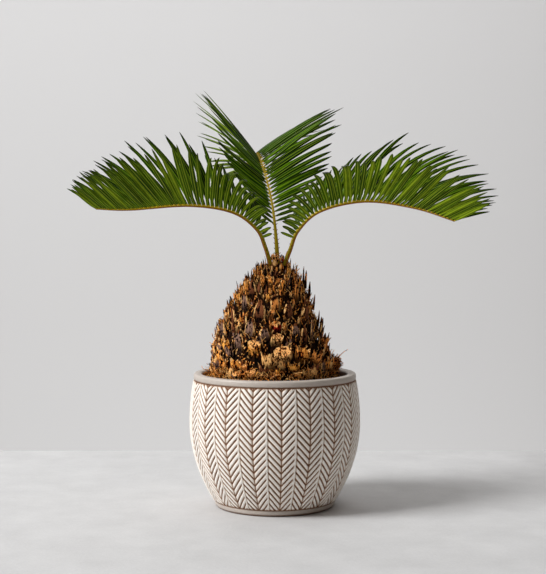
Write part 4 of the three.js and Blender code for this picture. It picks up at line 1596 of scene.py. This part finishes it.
def build_trunk():
    finishes = [bark_finish(name, *colours) for name, colours in BARK_SHADES.items()]
    # The core's near-black finish is painted shade for the gaps between the leaf bases
    build_core(bark_finish("bark_core", (3, 1, 0), (12, 6, 3), (46, 25, 13)))
    bases = leaf_bases(random.Random(5))
    settle(scatter("leaf_bases", bases, finishes, BARK_PARTS, lump=3.5, reach=0.8), "trunk")
    splinters = bark_splinters(random.Random(6))
    settle(scatter("bark_splinters", splinters, finishes, BARK_PARTS), "trunk")
    chance = random.Random(8)
    fibres = bark_fibres(chance) + foot_fibres(chance) + root_fibres(chance)
    settle(grow_fibres("trunk_fibres", fibres, finishes), "trunk")
    build_stub(finishes)
    scales = stub_scales(random.Random(9))
    settle(scatter("stub_scales", scales, finishes, BARK_PARTS, lump=1.5, reach=0.15), "trunk")


build_pot()
SHAPES = small_shapes()
build_fronds()
build_soil()
build_trunk()
build_spines(random.Random(10))
bpy.data.batch_remove(list(SHAPES.objects) + [SHAPES])


# ---- Stage, light and camera ---------------------------------------------------------------

# Places and sizes are in metres
CAMERA_PLACE = Vector((-0.0018, -1.3, 0.275))
CAMERA_AIM = Vector((-0.0018, 0.0, 0.219))
CAMERA_LENS = 81.6
TABLE_FRONT, TABLE_BACK = -3.0, 0.319
TABLE_HALF_WIDTH = 2.5
TABLE_THICKNESS = 0.03
WALL_PLACE = 2.6
WALL_HALF_WIDTH = 4.0
WALL_HEIGHTS = (-2.0, 3.0)
ROOM_STRENGTH = 0.09        # of the room's light on the right
ROOM_RISE = 0.17            # how much stronger it is on the left
WARM, WHITE = (1.0, 0.84, 0.7, 1.0), (1.0, 1.0, 1.0, 1.0)
# Each lamp: its place, what it is aimed at, its width and height, its watts and its colour
LAMPS = {
    "window": ((-2.983, -1.145, 2.56), (0, 0, 0.15), 1.5, 1.5, 167, (1.0, 1.0, 0.995)),
    "ceiling": ((0.3, 0.3, 2.4), (0.1, 0.0, 0.0), 2.0, 2.0, 9, (1.0, 1.0, 1.0)),
    "wall_wash": ((0.2, 1.1, 2.2), (0.2, 2.6, 0.0), 2.4, 1.0, 10, (1.0, 1.0, 1.0)),
    "low_wash": ((0.1, 1.2, -1.4), (0.1, 2.6, -0.1), 2.4, 0.8, 13, (1.0, 1.0, 1.0)),
}


def table_finish():
    table = Finish("pale_table", roughness=0.75, specular=0.25)
    patches = table.cloud(0.05, detail=6, roughness=0.62)
    grain = table.cloud(0.003, detail=3)
    level = patches * 0.75 + grain * 0.25
    table.set("Base Color", table.ramp(level, (0.3, (202, 202, 203)), (0.7, (218, 218, 219))))
    table.bump(grain, 0.0002)
    return table


def build_stage():
    left, right = -TABLE_HALF_WIDTH, TABLE_HALF_WIDTH
    outline = ((left, TABLE_FRONT), (right, TABLE_FRONT), (right, TABLE_BACK), (left, TABLE_BACK))
    points = [(x, y, z) for z in (-TABLE_THICKNESS, 0.0) for x, y in outline]
    table = make_piece("table", points, ring_faces(2, 4), [table_finish()])
    wall_finish = Finish("pale_wall", roughness=0.9, specular=0.1)
    wall_finish.set("Base Color", tint(229, 229, 230))
    left, right = -WALL_HALF_WIDTH, WALL_HALF_WIDTH
    low, high = WALL_HEIGHTS
    corners = [(x, WALL_PLACE, z) for x, z in ((left, low), (right, low), (right, high), (left, high))]
    wall = make_piece("wall", corners, [(0, 1, 2, 3)], [wall_finish])


def add_light(name, place, aim, width, height, watts, colour):
    lamp = bpy.data.lights.new(name, "AREA")
    lamp.shape = "RECTANGLE"
    lamp.size = width
    lamp.size_y = height
    lamp.energy = watts
    lamp.color = colour
    holder = bpy.data.objects.new(name, lamp)
    bpy.context.scene.collection.objects.link(holder)
    holder.location = place
    holder.rotation_euler = (Vector(aim) - Vector(place)).to_track_quat("-Z", "Y").to_euler()


def build_light():
    """Four lamps, and a dim room that is white on the left and warmer on the right."""
    world = bpy.data.worlds.new("studio")
    world.use_nodes = True
    tree = Tree(world.node_tree)
    way = tree.add("ShaderNodeTexCoord", out="Generated")
    rightward = tree.add("ShaderNodeSeparateXYZ", {"Vector": way}, out="X")
    sky = world.node_tree.nodes["Background"]
    leftness = tree.fade(rightward, 1.0, -1.0)
    tree.feed(sky.inputs["Strength"], leftness * ROOM_RISE + ROOM_STRENGTH)
    colours = {0: leftness, 6: WARM, 7: WHITE}
    tree.feed(sky.inputs["Color"], tree.add("ShaderNodeMix", colours, out=2, data_type="RGBA"))
    bpy.context.scene.world = world
    for name, lamp in LAMPS.items():
        add_light(name, *lamp)


def build_camera():
    lens = bpy.data.cameras.new("camera")
    lens.lens = CAMERA_LENS
    camera = bpy.data.objects.new("camera", lens)
    bpy.context.scene.collection.objects.link(camera)
    camera.location = CAMERA_PLACE
    camera.rotation_euler = (CAMERA_AIM - CAMERA_PLACE).to_track_quat("-Z", "Y").to_euler()
    bpy.context.scene.camera = camera


build_stage()
build_light()
build_camera()
bpy.context.scene.view_settings.view_transform = "Standard"
